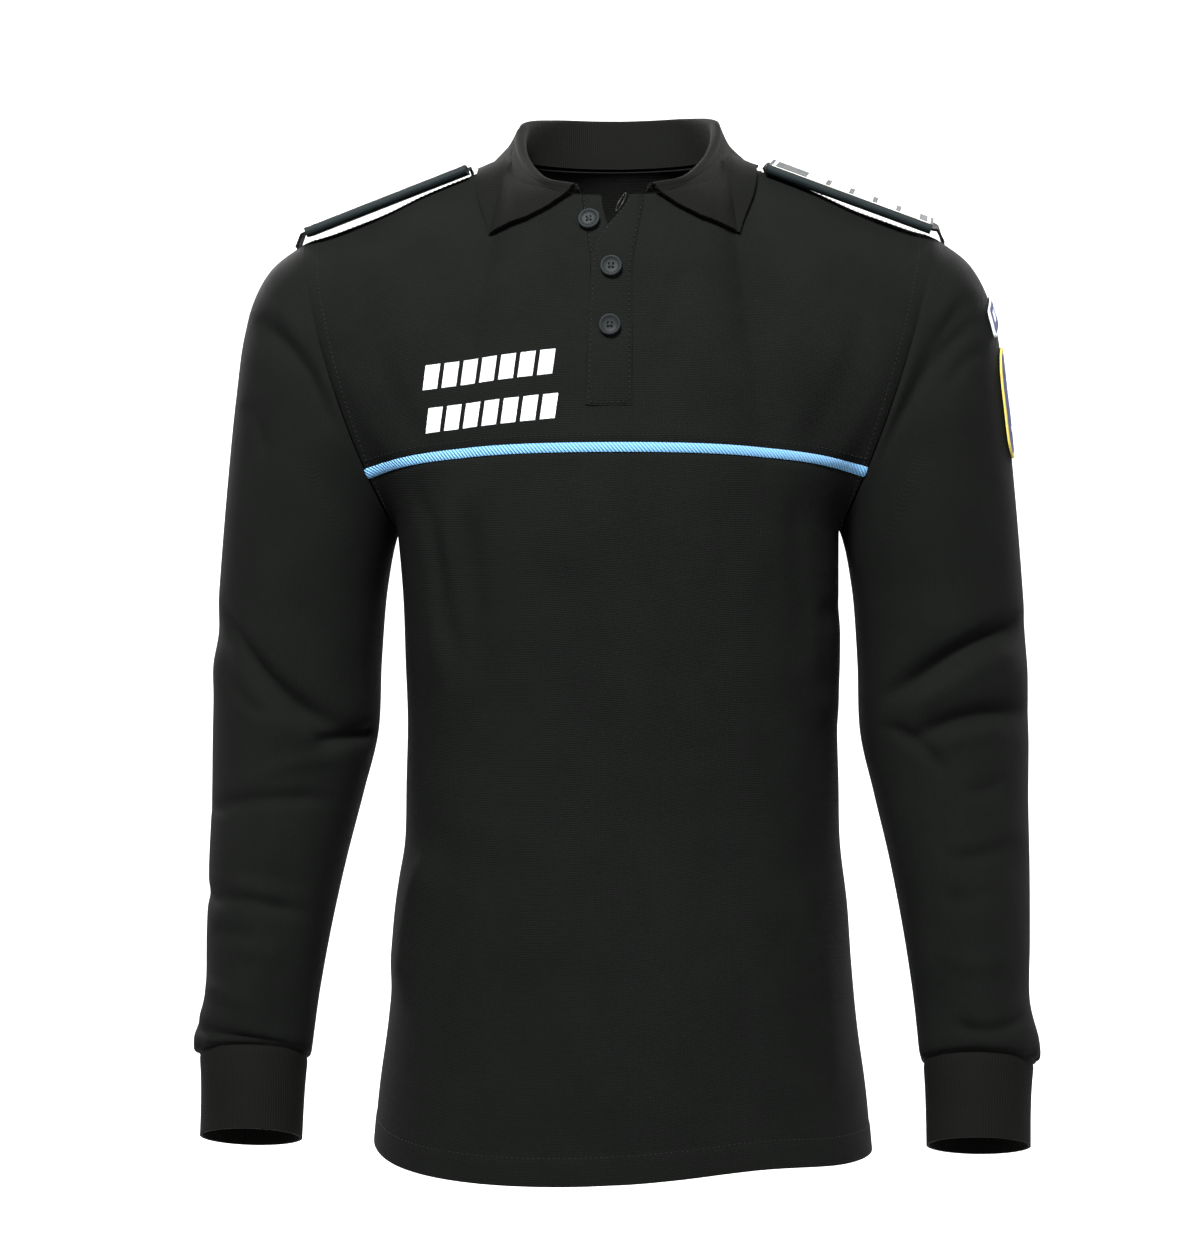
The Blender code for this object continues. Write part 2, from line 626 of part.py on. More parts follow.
def build_collar(materials, tree):
    """The knitted collar, folded over, its ends apart at the open neck."""
    across = np.array([0, 0.12, 0.24, 0.28, 0.32, 0.36, 0.40, 0.52, 0.64, 0.76, 0.88, 1.0])
    around = np.linspace(-1, 1, 33)
    column, row = np.meshgrid(around, across)
    points = collar_point(column, row)
    leaf = across > 0.45
    points[leaf] = keep_off(points[leaf], tree, RIB + COLLAR_CLEARANCE)
    order = points[:, ::-1]
    wall("collar", order, grid_normals(order), RIB, materials["rib"])


STRAP_HALF_WIDTH = 0.0215
SLIDE_HALF_WIDTH = 0.0250
SLIDE_HEIGHT = 0.0074
SLIDE_WALL = 0.0012
SLIDE_START, SLIDE_END = 0.1090, 0.2245
STRAP_START, STRAP_END = 0.1030, 0.2320
STRAP_SLOPE = math.radians(20.8)
STRAP_MIDDLE = (0.105, -0.0045)
STRAP_ROLL = {"left": math.radians(17), "right": math.radians(12)}


def strap_frame(side):
    """The strap's run down the shoulder, its width towards the back, and the way up from it."""
    run = np.array([math.cos(STRAP_SLOPE), 0, -math.sin(STRAP_SLOPE)])
    rise = np.array([math.sin(STRAP_SLOPE), 0, math.cos(STRAP_SLOPE)])
    roll = STRAP_ROLL[side]
    width = np.array([0, math.cos(roll), 0]) + rise * math.sin(roll)
    return run, width, np.cross(run, width)


def strap_line(side, x):
    """The middle of the strap where it reaches this far out."""
    run, _, _ = strap_frame(side)
    start_x, start_z = STRAP_MIDDLE
    return np.array([start_x, 0, start_z]) + run * (x - start_x) / run[0]


def build_straps(materials, tree):
    """Shoulder straps whose ends come down on the shoulder, each with a stiff rank slide on it."""
    for side in ("left", "right"):
        run, width, up = strap_frame(side)
        place = (lambda points: points) if side == "left" else mirrored
        stations = (
            (STRAP_START, 0.35, True), (STRAP_START + 0.003, 0.60, False),
            (SLIDE_START - 0.001, 0.96, False), (0.145, 1.0, False), (0.185, 1.0, False),
            (SLIDE_END + 0.001, 0.96, False), (STRAP_END - 0.003, 0.60, False), (STRAP_END, 0.35, True),
        )
        across = np.linspace(-1, 1, 7)
        rows = []
        for x, share, landed in stations:
            line = strap_line(side, x) + up * STRAP_CLOTH / 2
            row = line + np.outer(across * share * STRAP_HALF_WIDTH, width)
            if landed:
                row = land(row, tree, STRAP_CLOTH + LAYER_GAP)
            rows.append(row)
        points = np.array(rows)
        points[[0, 1, -2, -1]] = keep_off(points[[0, 1, -2, -1]], tree, STRAP_CLOTH + LAYER_GAP)
        points = points[::-1] if side == "left" else points
        points = place(points)
        wall(f"strap_{side}", points, grid_normals(points), STRAP_CLOTH, materials["strap"])
        build_slide(side, run, width, up, place, materials)


def land(row, tree, clearance):
    """Drops a row of points straight down until it lies the clearance above the shoulder."""
    landed = []
    for point in row:
        place, normal, _, _ = tree.ray_cast(Vector(point) + Vector((0, 0, 0.05)), Vector((0, 0, -1)))
        landed.append(np.array(place + normal * clearance))
    return np.array(landed)


def build_slide(side, run, width, up, place, materials):
    """A flat tube with rounded edges round the strap."""
    corner = SLIDE_HEIGHT / 2
    outline = []
    for centre, start in ((SLIDE_HALF_WIDTH - corner, -90), (-SLIDE_HALF_WIDTH + corner, 90)):
        for step in range(5):
            angle = math.radians(start + 45 * step)
            outline.append((centre + corner * math.cos(angle), corner * math.sin(angle),
                            math.cos(angle), math.sin(angle)))
    rows, facing = [], []
    for x in np.linspace(SLIDE_START, SLIDE_END, 4):
        line = strap_line(side, x)
        rows.append([line + width * a + up * b for a, b, _, _ in outline])
        facing.append([width * c + up * d for _, _, c, d in outline])
    points, normals = place(np.array(rows)), place(np.array(facing))
    order = slice(None) if side == "left" else slice(None, None, -1)
    wall(f"slide_{side}", points[:, order], normals[:, order], SLIDE_WALL, materials["slide"], closed=True)


BUTTONS = table(
    "x        z        share  raised",
    (-0.0160, -0.0580, -0.05, 0),
    (-0.0005, -0.0920, 0.0, 1),
    (-0.0010, -0.1330, 0.0, 1),
)
BUTTON_NAMES = ("button_top", "button_middle", "button_low")


def build_buttons(materials):
    """Four-hole buttons: one on the under band, left open, and two on the top band."""
    for name, x, z, share, raised in zip(BUTTON_NAMES, *BUTTONS.values()):
        share, climb = locate(front, x, z, share, 0.8)
        point = front(share, climb)
        normal = normals_of(front, np.array(share), np.array(climb))
        edge = slit_share(climb)
        across = (share + edge) / (2 * edge)
        lift = PLACKET_LIFT * (1 - across) if raised else -PLACKET_SINK * across
        seat = point + normal * (max(lift, 0) + BUTTON_GAP)
        button = lathe(name, BUTTON_PROFILE, BUTTON_RADIUS, BUTTON_HEIGHT, materials["button"])
        turn = Vector((0, 0, 1)).rotation_difference(Vector(normal)).to_matrix().to_4x4()
        button.matrix_world = Matrix.Translation(Vector(seat)) @ turn
        drill(button, BUTTON_HOLES, BUTTON_HOLE_SPREAD, BUTTON_HOLE_RADIUS)


def lathe(name, profile, radius, height, material, steps=24):
    """A turned solid from shares of its radius and height, bottom middle to top middle."""
    body = bmesh.new()
    rings = []
    for out, up in profile:
        if out == 0:
            rings.append([body.verts.new((0, 0, up * height))])
            continue
        turns = [2 * math.pi * step / steps for step in range(steps)]
        rings.append([body.verts.new((out * radius * math.cos(t), out * radius * math.sin(t), up * height))
                      for t in turns])
    for low, high in zip(rings, rings[1:]):
        for step in range(steps):
            after = (step + 1) % steps
            corners = [low[step % len(low)], low[after % len(low)],
                       high[after % len(high)], high[step % len(high)]]
            body.faces.new(dict.fromkeys(corners))
    mesh = bpy.data.meshes.new(name)
    bmesh.ops.recalc_face_normals(body, faces=body.faces)
    body.to_mesh(mesh)
    body.free()
    mesh.shade_smooth()
    mesh.set_sharp_from_angle(angle=math.radians(40))
    mesh.materials.append(material)
    thing = bpy.data.objects.new(name, mesh)
    bpy.context.collection.objects.link(thing)
    return thing


def drill(button, count, spread, radius):
    """Cuts a square of thread holes through a button."""
    body = bmesh.new()
    for index in range(count):
        turn = math.pi / 4 + index * 2 * math.pi / count
        centre = Vector((spread * math.cos(turn), spread * math.sin(turn), BUTTON_HEIGHT / 2))
        bmesh.ops.create_cone(body, cap_ends=True, segments=8, radius1=radius, radius2=radius,
                              depth=BUTTON_HEIGHT * 2, matrix=Matrix.Translation(centre))
    mesh = bpy.data.meshes.new(button.name + "_holes")
    body.to_mesh(mesh)
    body.free()
    cutter = bpy.data.objects.new(mesh.name, mesh)
    bpy.context.collection.objects.link(cutter)
    cutter.parent = button
    cutter.hide_render = True
    cutter.display_type = "WIRE"
    cut = button.modifiers.new("thread holes", "BOOLEAN")
    cut.object = cutter
    cut.solver = "EXACT"


PATCHES = {
    "patch_tab": {"top": 1.66, "bottom": 2.10, "half_angle": 0.50, "arch": 0.10, "rounded": 0.06},
    "patch_badge": {"top": 2.42, "bottom": 3.75, "half_angle": 0.46, "arch": 0.0, "rounded": 0.30},
}


def build_patches(materials):
    """Two sewn patches on the wearer's left sleeve, made from the sleeve's points moved out."""
    for name, size in PATCHES.items():
        down = np.linspace(0, 1, 8)
        across = np.linspace(-1, 1, 11)
        side, fall = np.meshgrid(across, down)
        narrow = 1 - size["rounded"] * np.abs(2 * fall - 1) ** 5
        turn = side * size["half_angle"] * narrow
        row = size["top"] + (size["bottom"] - size["top"]) * fall + size["arch"] * side ** 2
        normals = normals_of(sleeve, turn, row)
        points = sleeve(turn, row) + normals * (PATCH_CLOTH + PATCH_GAP)
        wall(name, points, normals, PATCH_CLOTH, materials[name])


MATERIALS = {
    "pique": (0.017, 0.019, 0.021, 0.88, 0.0),
    "rib": (0.014, 0.016, 0.017, 0.90, 0.0),
    "piping": (0.16, 0.38, 0.64, 0.80, 0.0),
    "strap": (0.012, 0.014, 0.014, 0.85, 0.0),
    "slide": (0.006, 0.022, 0.026, 0.70, 0.0),
    "button": (0.030, 0.033, 0.037, 0.32, 0.0),
    "patch_tab": (0.010, 0.014, 0.10, 0.75, 0.0),
    "patch_badge": (0.010, 0.014, 0.10, 0.75, 0.0),
}


def make_materials():
    """One Principled material for each entry of the table."""
    made = {}
    for name, (red, green, blue, roughness, metallic) in MATERIALS.items():
        material = bpy.data.materials.new(name)
        material.use_nodes = True
        shader = material.node_tree.nodes["Principled BSDF"]
        shader.inputs["Base Color"].default_value = (red, green, blue, 1)
        shader.inputs["Roughness"].default_value = roughness
        shader.inputs["Metallic"].default_value = metallic
        material.diffuse_color = (red, green, blue, 1)
        made[name] = material
    return made


def main():
    for thing in list(bpy.data.objects):
        bpy.data.objects.remove(thing)
    materials = make_materials()
    tree = outer_tree()
    build_front(materials)
    build_back(materials)
    build_sleeves(materials)
    build_placket(materials)
    build_collar(materials, tree)
    build_straps(materials, tree)
    build_buttons(materials)
    build_patches(materials)


if __name__ == "__main__":
    main()
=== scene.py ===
"""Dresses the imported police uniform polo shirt: dense cloth shells with creases, stitching, finishes."""
import json
import math

import bmesh
import bpy
import numpy as np
from mathutils import Matrix, Vector
from mathutils.bvhtree import BVHTree

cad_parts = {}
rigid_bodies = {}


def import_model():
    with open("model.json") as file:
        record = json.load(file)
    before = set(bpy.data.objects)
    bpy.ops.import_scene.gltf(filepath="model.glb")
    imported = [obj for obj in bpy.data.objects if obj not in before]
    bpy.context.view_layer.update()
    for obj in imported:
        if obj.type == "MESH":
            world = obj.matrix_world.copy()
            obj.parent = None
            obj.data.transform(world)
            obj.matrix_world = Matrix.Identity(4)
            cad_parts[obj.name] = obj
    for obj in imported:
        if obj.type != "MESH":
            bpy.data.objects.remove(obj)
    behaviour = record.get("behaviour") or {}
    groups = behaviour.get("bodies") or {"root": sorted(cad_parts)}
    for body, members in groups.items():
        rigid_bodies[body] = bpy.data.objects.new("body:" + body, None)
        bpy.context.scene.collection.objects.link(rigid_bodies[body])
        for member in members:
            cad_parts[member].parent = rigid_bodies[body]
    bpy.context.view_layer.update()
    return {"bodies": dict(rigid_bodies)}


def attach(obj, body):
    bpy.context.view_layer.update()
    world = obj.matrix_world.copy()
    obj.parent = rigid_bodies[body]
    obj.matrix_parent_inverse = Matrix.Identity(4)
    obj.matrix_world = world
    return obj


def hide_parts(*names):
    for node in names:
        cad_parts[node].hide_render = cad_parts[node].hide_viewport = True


bl_info = {
    "name": "Police Uniform Polo Shirt",
    "version": (1, 0, 0),
    "blender": (4, 5, 0),
    "location": "View3D > Sidebar > Uniform",
    "description": "Long-sleeved pique polo shirt with a chest band, rank slides and sleeve patches",
    "category": "Object",
}

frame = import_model()
ROOT = list(frame["bodies"])[0]


def metric(points, closed=False):
    """Cloth coordinates in metres over a grid: along its rows and down its columns."""
    across = np.linalg.norm(np.diff(points, axis=1), axis=-1)
    if closed:
        last = np.linalg.norm(points[:, :1] - points[:, -1:], axis=-1)
        across = np.concatenate([across, last], axis=1)
    u = np.concatenate([np.zeros((len(points), 1)), np.cumsum(across, axis=1)], axis=1)
    u = u - u[:, u.shape[1] // 2][:, None]
    down = np.linalg.norm(np.diff(points, axis=0), axis=-1)
    v = np.concatenate([np.zeros((1, points.shape[1])), np.cumsum(down, axis=0)], axis=0)
    if closed:
        v = np.concatenate([v, v[:, :1]], axis=1)
    return np.stack([u, v], axis=-1)


def solid(name, vertices, faces, finish, coordinates=None, sharp=50):
    """A mesh object on the shirt's body, with its finish and, where given, cloth coordinates."""
    mesh = bpy.data.meshes.new(name)
    mesh.from_pydata(np.asarray(vertices).tolist(), [], faces)
    if coordinates is not None:
        layer = mesh.uv_layers.new(name="cloth")
        layer.data.foreach_set("uv", np.asarray(coordinates, dtype=float).ravel())
    mesh.validate()
    mesh.shade_smooth()
    mesh.set_sharp_from_angle(angle=math.radians(sharp))
    mesh.materials.append(finish)
    thing = bpy.data.objects.new(name, mesh)
    bpy.context.collection.objects.link(thing)
    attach(thing, ROOT)
    return thing


INSIDE_SHIFT = (10.0, 0.0)


def shell(name, outer, normals, thick, finish, closed=False, hole=None, cloth=None):
    """A closed cloth wall: the outer grid, the inner one, and a rim round every open edge."""
    rows, columns = outer.shape[:2]
    count = rows * columns
    vertices = np.concatenate([outer.reshape(-1, 3), (outer - thick * normals).reshape(-1, 3)])
    cloth = metric(outer, closed) if cloth is None else cloth
    i, j = np.meshgrid(np.arange(rows - 1), np.arange(columns if closed else columns - 1), indexing="ij")
    keep = np.ones(i.shape, bool) if hole is None else ~hole(i, j)
    i, j = i[keep], j[keep]
    k = (j + 1) % columns
    faces = np.stack([i * columns + j, i * columns + k, (i + 1) * columns + k, (i + 1) * columns + j], axis=1)
    places = np.stack([cloth[i, j], cloth[i, j + 1], cloth[i + 1, j + 1], cloth[i + 1, j]], axis=1)
    heads, tails = faces.ravel(), np.roll(faces, -1, axis=1).ravel()
    head_places, tail_places = places.reshape(-1, 2), np.roll(places, -1, axis=1).reshape(-1, 2)
    forward, backward = heads * count + tails, tails * count + heads
    rim = ~np.isin(forward, backward)
    rims = np.stack([tails[rim], heads[rim], heads[rim] + count, tails[rim] + count], axis=1)
    rim_places = np.stack([tail_places[rim], head_places[rim], head_places[rim], tail_places[rim]], axis=1)
    inner, inner_places = (faces + count)[:, ::-1], places[:, ::-1] + INSIDE_SHIFT
    every = np.concatenate([faces, inner, rims])
    coordinates = np.concatenate([places, inner_places, rim_places])
    used = np.unique(every)
    renumber = np.zeros(2 * count, int)
    renumber[used] = np.arange(len(used))
    return solid(name, vertices[used], renumber[every].tolist(), finish, coordinates.reshape(-1, 2))


class Wire:
    """A number that varies over a surface. Maths on it adds Math nodes."""

    def __init__(self, shade, socket):
        self.shade = shade
        self.socket = socket

    def maths(self, operation, *others):
        values = {index: other for index, other in enumerate((self,) + others)}
        node = self.shade.add("ShaderNodeMath", {"operation": operation}, values)
        return Wire(self.shade, node.outputs[0])

    def turned(self, operation, other):
        node = self.shade.add("ShaderNodeMath", {"operation": operation}, {0: other, 1: self})
        return Wire(self.shade, node.outputs[0])

    def __add__(self, other):
        return self.maths("ADD", other)

    def __radd__(self, other):
        return self.turned("ADD", other)

    def __sub__(self, other):
        return self.maths("SUBTRACT", other)

    def __rsub__(self, other):
        return self.turned("SUBTRACT", other)

    def __mul__(self, other):
        return self.maths("MULTIPLY", other)

    def __rmul__(self, other):
        return self.turned("MULTIPLY", other)

    def __truediv__(self, other):
        return self.maths("DIVIDE", other)

    def __gt__(self, other):
        return self.maths("GREATER_THAN", other)

    def __lt__(self, other):
        return self.maths("LESS_THAN", other)

    def sine(self):
        return self.maths("SINE")

    def size(self):
        return self.maths("ABSOLUTE")

    def wave(self, pitch, shift=0.0):
        """A sine wave with this pitch in metres."""
        return (self * (2 * math.pi / pitch) + shift).sine()

    def cell(self, pitch):
        """How far through its cell a place is, from 0 to 1."""
        return (self / pitch).maths("FRACT")

    def within(self, low, high):
        return (self > low) * (self < high)


class Shade:
    """One finish: a Principled shader with the nodes that vary it."""

    def __init__(self, name, colour, roughness, **fixed):
        self.material = bpy.data.materials.new(name)
        self.material.use_nodes = True
        self.tree = self.material.node_tree
        self.shader = self.tree.nodes["Principled BSDF"]
        self.colour = (*colour, 1.0)
        self.shader.inputs["Base Color"].default_value = self.colour
        self.shader.inputs["Roughness"].default_value = roughness
        for socket, value in fixed.items():
            self.shader.inputs[socket.replace("_", " ")].default_value = value
        self.material.diffuse_color = self.colour

    def add(self, kind, settings=None, inputs=None):
        """Adds a node, sets it up, and links or sets its sockets."""
        node = self.tree.nodes.new(kind)
        for setting, value in (settings or {}).items():
            if setting == "stops":
                for element, (place, tone) in zip(node.color_ramp.elements, value):
                    element.position = place
                    element.color = tone
            else:
                setattr(node, setting, value)
        for socket, value in (inputs or {}).items():
            if isinstance(value, Wire):
                self.tree.links.new(value.socket, node.inputs[socket])
            elif isinstance(value, bpy.types.NodeSocket):
                self.tree.links.new(value, node.inputs[socket])
            else:
                node.inputs[socket].default_value = value
        return node

    def split(self, vector):
        """The parts of a vector as numbers."""
        node = self.add("ShaderNodeSeparateXYZ", None, {0: vector})
        return [Wire(self, output) for output in node.outputs]

    def cloth(self):
        """Cloth coordinates in metres, along and down the piece."""
        node = self.add("ShaderNodeUVMap", {"uv_map": "cloth"})
        return self.split(node.outputs[0])[:2]

    def place(self):
        """The place on the shirt at rest."""
        node = self.add("ShaderNodeTexCoord")
        return self.split(node.outputs["Object"])

    def noise(self, scale, detail=3.0):
        """A soft random number between 0 and 1, fixed to the shirt."""
        where = self.add("ShaderNodeTexCoord").outputs["Object"]
        node = self.add("ShaderNodeTexNoise", None, {"Vector": where, "Scale": scale, "Detail": detail})
        return Wire(self, node.outputs[0])

    def tint(self, below, above, factor):
        """One colour laid over another by a mask."""
        inputs = {0: factor, 6: below, 7: above}
        return self.add("ShaderNodeMix", {"data_type": "RGBA"}, inputs).outputs[2]

    def use(self, colour=None, roughness=None):
        """Feeds the varying colour and roughness to the shader."""
        if colour is not None:
            self.tree.links.new(colour, self.shader.inputs["Base Color"])
        if roughness is not None:
            self.tree.links.new(roughness.socket, self.shader.inputs["Roughness"])

    def raise_by(self, height, distance, strength=1.0):
        """Relief from a height between -1 and 1."""
        node = self.add("ShaderNodeBump", None, {"Height": height, "Distance": distance, "Strength": strength})
        self.tree.links.new(node.outputs[0], self.shader.inputs["Normal"])


def shades(base, amount):
    """A darker and a lighter colour round a base colour."""
    return tuple(part * (1 - amount) for part in base) + (1,), tuple(part * (1 + amount) for part in base) + (1,)


PIQUE = 0.0015
RIB = 0.0019
STRAP_CLOTH = 0.002
PATCH_CLOTH = 0.0012
SEAM = 0.00015
LAYER_GAP = 0.0003
PATCH_GAP = 0.0009

SHOULDER_X, SHOULDER_Z = 0.225, -0.058
ARMPIT_X, ARMPIT_Z = 0.158, -0.268
ARMHOLE_DEPTH = 0.066
ARMHOLE_SCOOP = 0.006

NECK_HALF_WIDTH = 0.075
NECK_FRONT_Y, NECK_FRONT_Z = -0.078, -0.040
NECK_BACK_Y, NECK_BACK_Z = 0.062, 0.004
NECK_SHARE = 0.43
NECK_DIP = 0.7
SECTION_POWER = 2.3

PIPING_TOP = -0.2124
PIPING_DROP = 0.0135
PIPING_HEIGHT = 0.0067
PIPING_RAISE = 0.0005

PLACKET_BOTTOM = -0.188
PLACKET_LIFT = 0.0018
PLACKET_SINK = 0.0020
PLACKET_TURN = 2.5
TOP_BAND_SHARE = 0.040
UNDER_BAND_SHARE = 0.036
UNDER_BAND_TOP_SHARE = -0.030

BUTTON_RADIUS = 0.0075
BUTTON_HEIGHT = 0.0026
BUTTON_GAP = 0.0005
BUTTON_HOLE_SPREAD = 0.0018
BUTTON_HOLE_RADIUS = 0.0009


def table(names, *rows):
    """A short table with named columns: one array for each name."""
    return {name: np.array(values) for name, values in zip(names.split(), zip(*rows))}


TORSO = table(
    "z       half_width  front   back    middle",
    (-0.268, 0.1580, 0.1150, 0.1120, 0.000),
    (-0.317, 0.1560, 0.1130, 0.1080, 0.002),
    (-0.360, 0.1555, 0.1100, 0.1020, 0.003),
    (-0.403, 0.1540, 0.1070, 0.0970, 0.003),
    (-0.447, 0.1550, 0.1050, 0.0950, 0.003),
    (-0.490, 0.1560, 0.1060, 0.0970, 0.003),
    (-0.533, 0.1610, 0.1080, 0.1020, 0.003),
    (-0.576, 0.1640, 0.1100, 0.1080, 0.003),
    (-0.619, 0.1680, 0.1120, 0.1130, 0.003),
    (-0.663, 0.1740, 0.1140, 0.1170, 0.003),
    (-0.715, 0.1790, 0.1160, 0.1200, 0.003),
)
HEM = table(
    "share   front_z  back_z",
    (-1.00, -0.7010, -0.7010),
    (-0.60, -0.7105, -0.7060),
    (-0.10, -0.7115, -0.7080),
    (0.35, -0.7015, -0.7080),
    (0.65, -0.7055, -0.7075),
    (1.00, -0.7080, -0.7080),
)
SHOULDER_SEAM = table(
    "x      z",
    (0.075, 0.0000),
    (0.111, -0.0130),
    (0.142, -0.0250),
    (0.166, -0.0360),
    (0.192, -0.0460),
    (0.225, -0.0580),
)
SLEEVE = table(
    "outer_x  outer_z   inner_x  inner_z   y       half_depth  lean",
    (0.2250, -0.0580, 0.1580, -0.2680, 0.000, 0.0660, 0),
    (0.2520, -0.0800, 0.1600, -0.2710, 0.000, 0.0670, 0),
    (0.2680, -0.1160, 0.1615, -0.2760, 0.000, 0.0680, 0),
    (0.2760, -0.1710, 0.1635, -0.2840, 0.000, 0.0690, 0),
    (0.2820, -0.2310, 0.1660, -0.2980, 0.000, 0.0690, 0),
    (0.2870, -0.2910, 0.1690, -0.3210, 0.000, 0.0680, 0),
    (0.2905, -0.3510, 0.1715, -0.3630, -0.003, 0.0660, 1),
    (0.2915, -0.4110, 0.1730, -0.4110, -0.008, 0.0630, 5),
    (0.2900, -0.4600, 0.1820, -0.4530, -0.018, 0.0590, 10),
    (0.2890, -0.5080, 0.1920, -0.4980, -0.032, 0.0560, 15),
    (0.2870, -0.5540, 0.1998, -0.5430, -0.048, 0.0510, 18),
    (0.2850, -0.5930, 0.2054, -0.5850, -0.062, 0.0460, 20),
    (0.2900, -0.6180, 0.2080, -0.6140, -0.071, 0.0440, 21),
    (0.2900, -0.6290, 0.2090, -0.6270, -0.075, 0.0425, 22),
    (0.2860, -0.6330, 0.2115, -0.6320, -0.076, 0.0380, 22),
)
CUFF_LEAN = math.radians(22)
CUFF = table(
    "outer_x  outer_z   inner_x  inner_z   y       half_depth  lean",
    (0.2860, -0.6330, 0.2115, -0.6320, -0.0760, 0.0380, 22),
    (0.2835, -0.6500, 0.2120, -0.6490, -0.0830, 0.0370, 22),
    (0.2820, -0.6670, 0.2120, -0.6660, -0.0895, 0.0365, 22),
    (0.2810, -0.6850, 0.2117, -0.6840, -0.0965, 0.0365, 22),
)


def curve(knots, values, at):
    """A smooth curve through the values: cubic pieces with central-difference slopes."""
    slopes = np.gradient(values, knots)
    at = np.clip(at, knots[0], knots[-1])
    piece = np.clip(np.searchsorted(knots, at, side="right") - 1, 0, len(knots) - 2)
    step = knots[piece + 1] - knots[piece]
    t = (at - knots[piece]) / step
    start, end = values[piece], values[piece + 1]
    return hermite(start, slopes[piece] * step, end, slopes[piece + 1] * step, t)


def hermite(start, start_rate, end, end_rate, t):
    """A cubic from start to end with the given rates at both ends."""
    return (start * (1 + 2 * t) * (1 - t) ** 2 + start_rate * t * (1 - t) ** 2
            + end * t * t * (3 - 2 * t) - end_rate * t * t * (1 - t))


def blend(low, high, t):
    """A smooth step from 0 at low to 1 at high."""
    t = np.clip((t - low) / (high - low), 0, 1)
    return t * t * (3 - 2 * t)


def xyz(x, y, z):
    """Points from three arrays or numbers of matching shape."""
    return np.stack(np.broadcast_arrays(x, y, z), axis=-1).astype(float)


def unit(vectors):
    """The vectors at length one."""
    return vectors / np.linalg.norm(vectors, axis=-1, keepdims=True)


def power(base, exponent):
    """A power that keeps the sign of its base."""
    return np.sign(base) * np.abs(base) ** exponent


def normals_of(surface, u, s, step=0.002):
    """Unit normals of a surface function, on the side where u, s and the normal are right-handed."""
    along = surface(u + step, s) - surface(u - step, s)
    up = surface(u, s + step) - surface(u, s - step)
    return unit(np.cross(along, up))


ARM_AXIS = np.array([(SHOULDER_X - ARMPIT_X) / 2, 0, (SHOULDER_Z - ARMPIT_Z) / 2])
ARM_UP = unit(ARM_AXIS)
ARM_OUT = np.array([ARM_UP[2], 0, -ARM_UP[0]])


def torso_section(share, z, side):
    """A point on the round of the body at one height. share runs -1 to 1 across front or back."""
    angle = np.clip(share, -1, 1) * math.pi / 2
    over = share - np.clip(share, -1, 1)
    knots = -TORSO["z"]
    half = curve(knots, TORSO["half_width"], -z)
    deep = curve(knots, TORSO["front" if side < 0 else "back"], -z)
    middle = curve(knots, TORSO["middle"], -z)
    exponent = 2 / SECTION_POWER
    x = middle + half * power(np.sin(angle), exponent)
    y = side * deep * (power(np.cos(angle), exponent) - 2 * np.abs(over))
    return xyz(x, y, z)


def top_edge(share, side):
    """The neckline near the middle, then the shoulder seam, and the cloth's rate of climb there."""
    reach = np.abs(share)
    sign = np.where(share < 0, -1.0, 1.0)
    turn = np.clip(reach / NECK_SHARE, 0, 1) * math.pi / 2
    neck_y, neck_z = (NECK_FRONT_Y, NECK_FRONT_Z) if side < 0 else (NECK_BACK_Y, NECK_BACK_Z)
    out = np.clip((reach - NECK_SHARE) / (1 - NECK_SHARE), 0, 1.2)
    seam_x = NECK_HALF_WIDTH + out * (SHOULDER_X - NECK_HALF_WIDTH)
    seam_z = curve(SHOULDER_SEAM["x"], SHOULDER_SEAM["z"], seam_x)
    on_neck = reach < NECK_SHARE
    x = sign * np.where(on_neck, NECK_HALF_WIDTH * np.sin(turn), seam_x)
    y = np.where(on_neck, neck_y * np.cos(turn), 0)
    z = np.where(on_neck, neck_z * np.cos(turn) ** NECK_DIP, seam_z)
    middle_rate = xyz(0, 0.065, 0.19) if side < 0 else xyz(0, -0.11, 0.13)
    seam_rate = xyz(0, -side * 0.19, 0)
    weight = (np.sin(turn) ** 2)[..., None]
    return xyz(x, y, z), middle_rate * (1 - weight) + seam_rate * weight


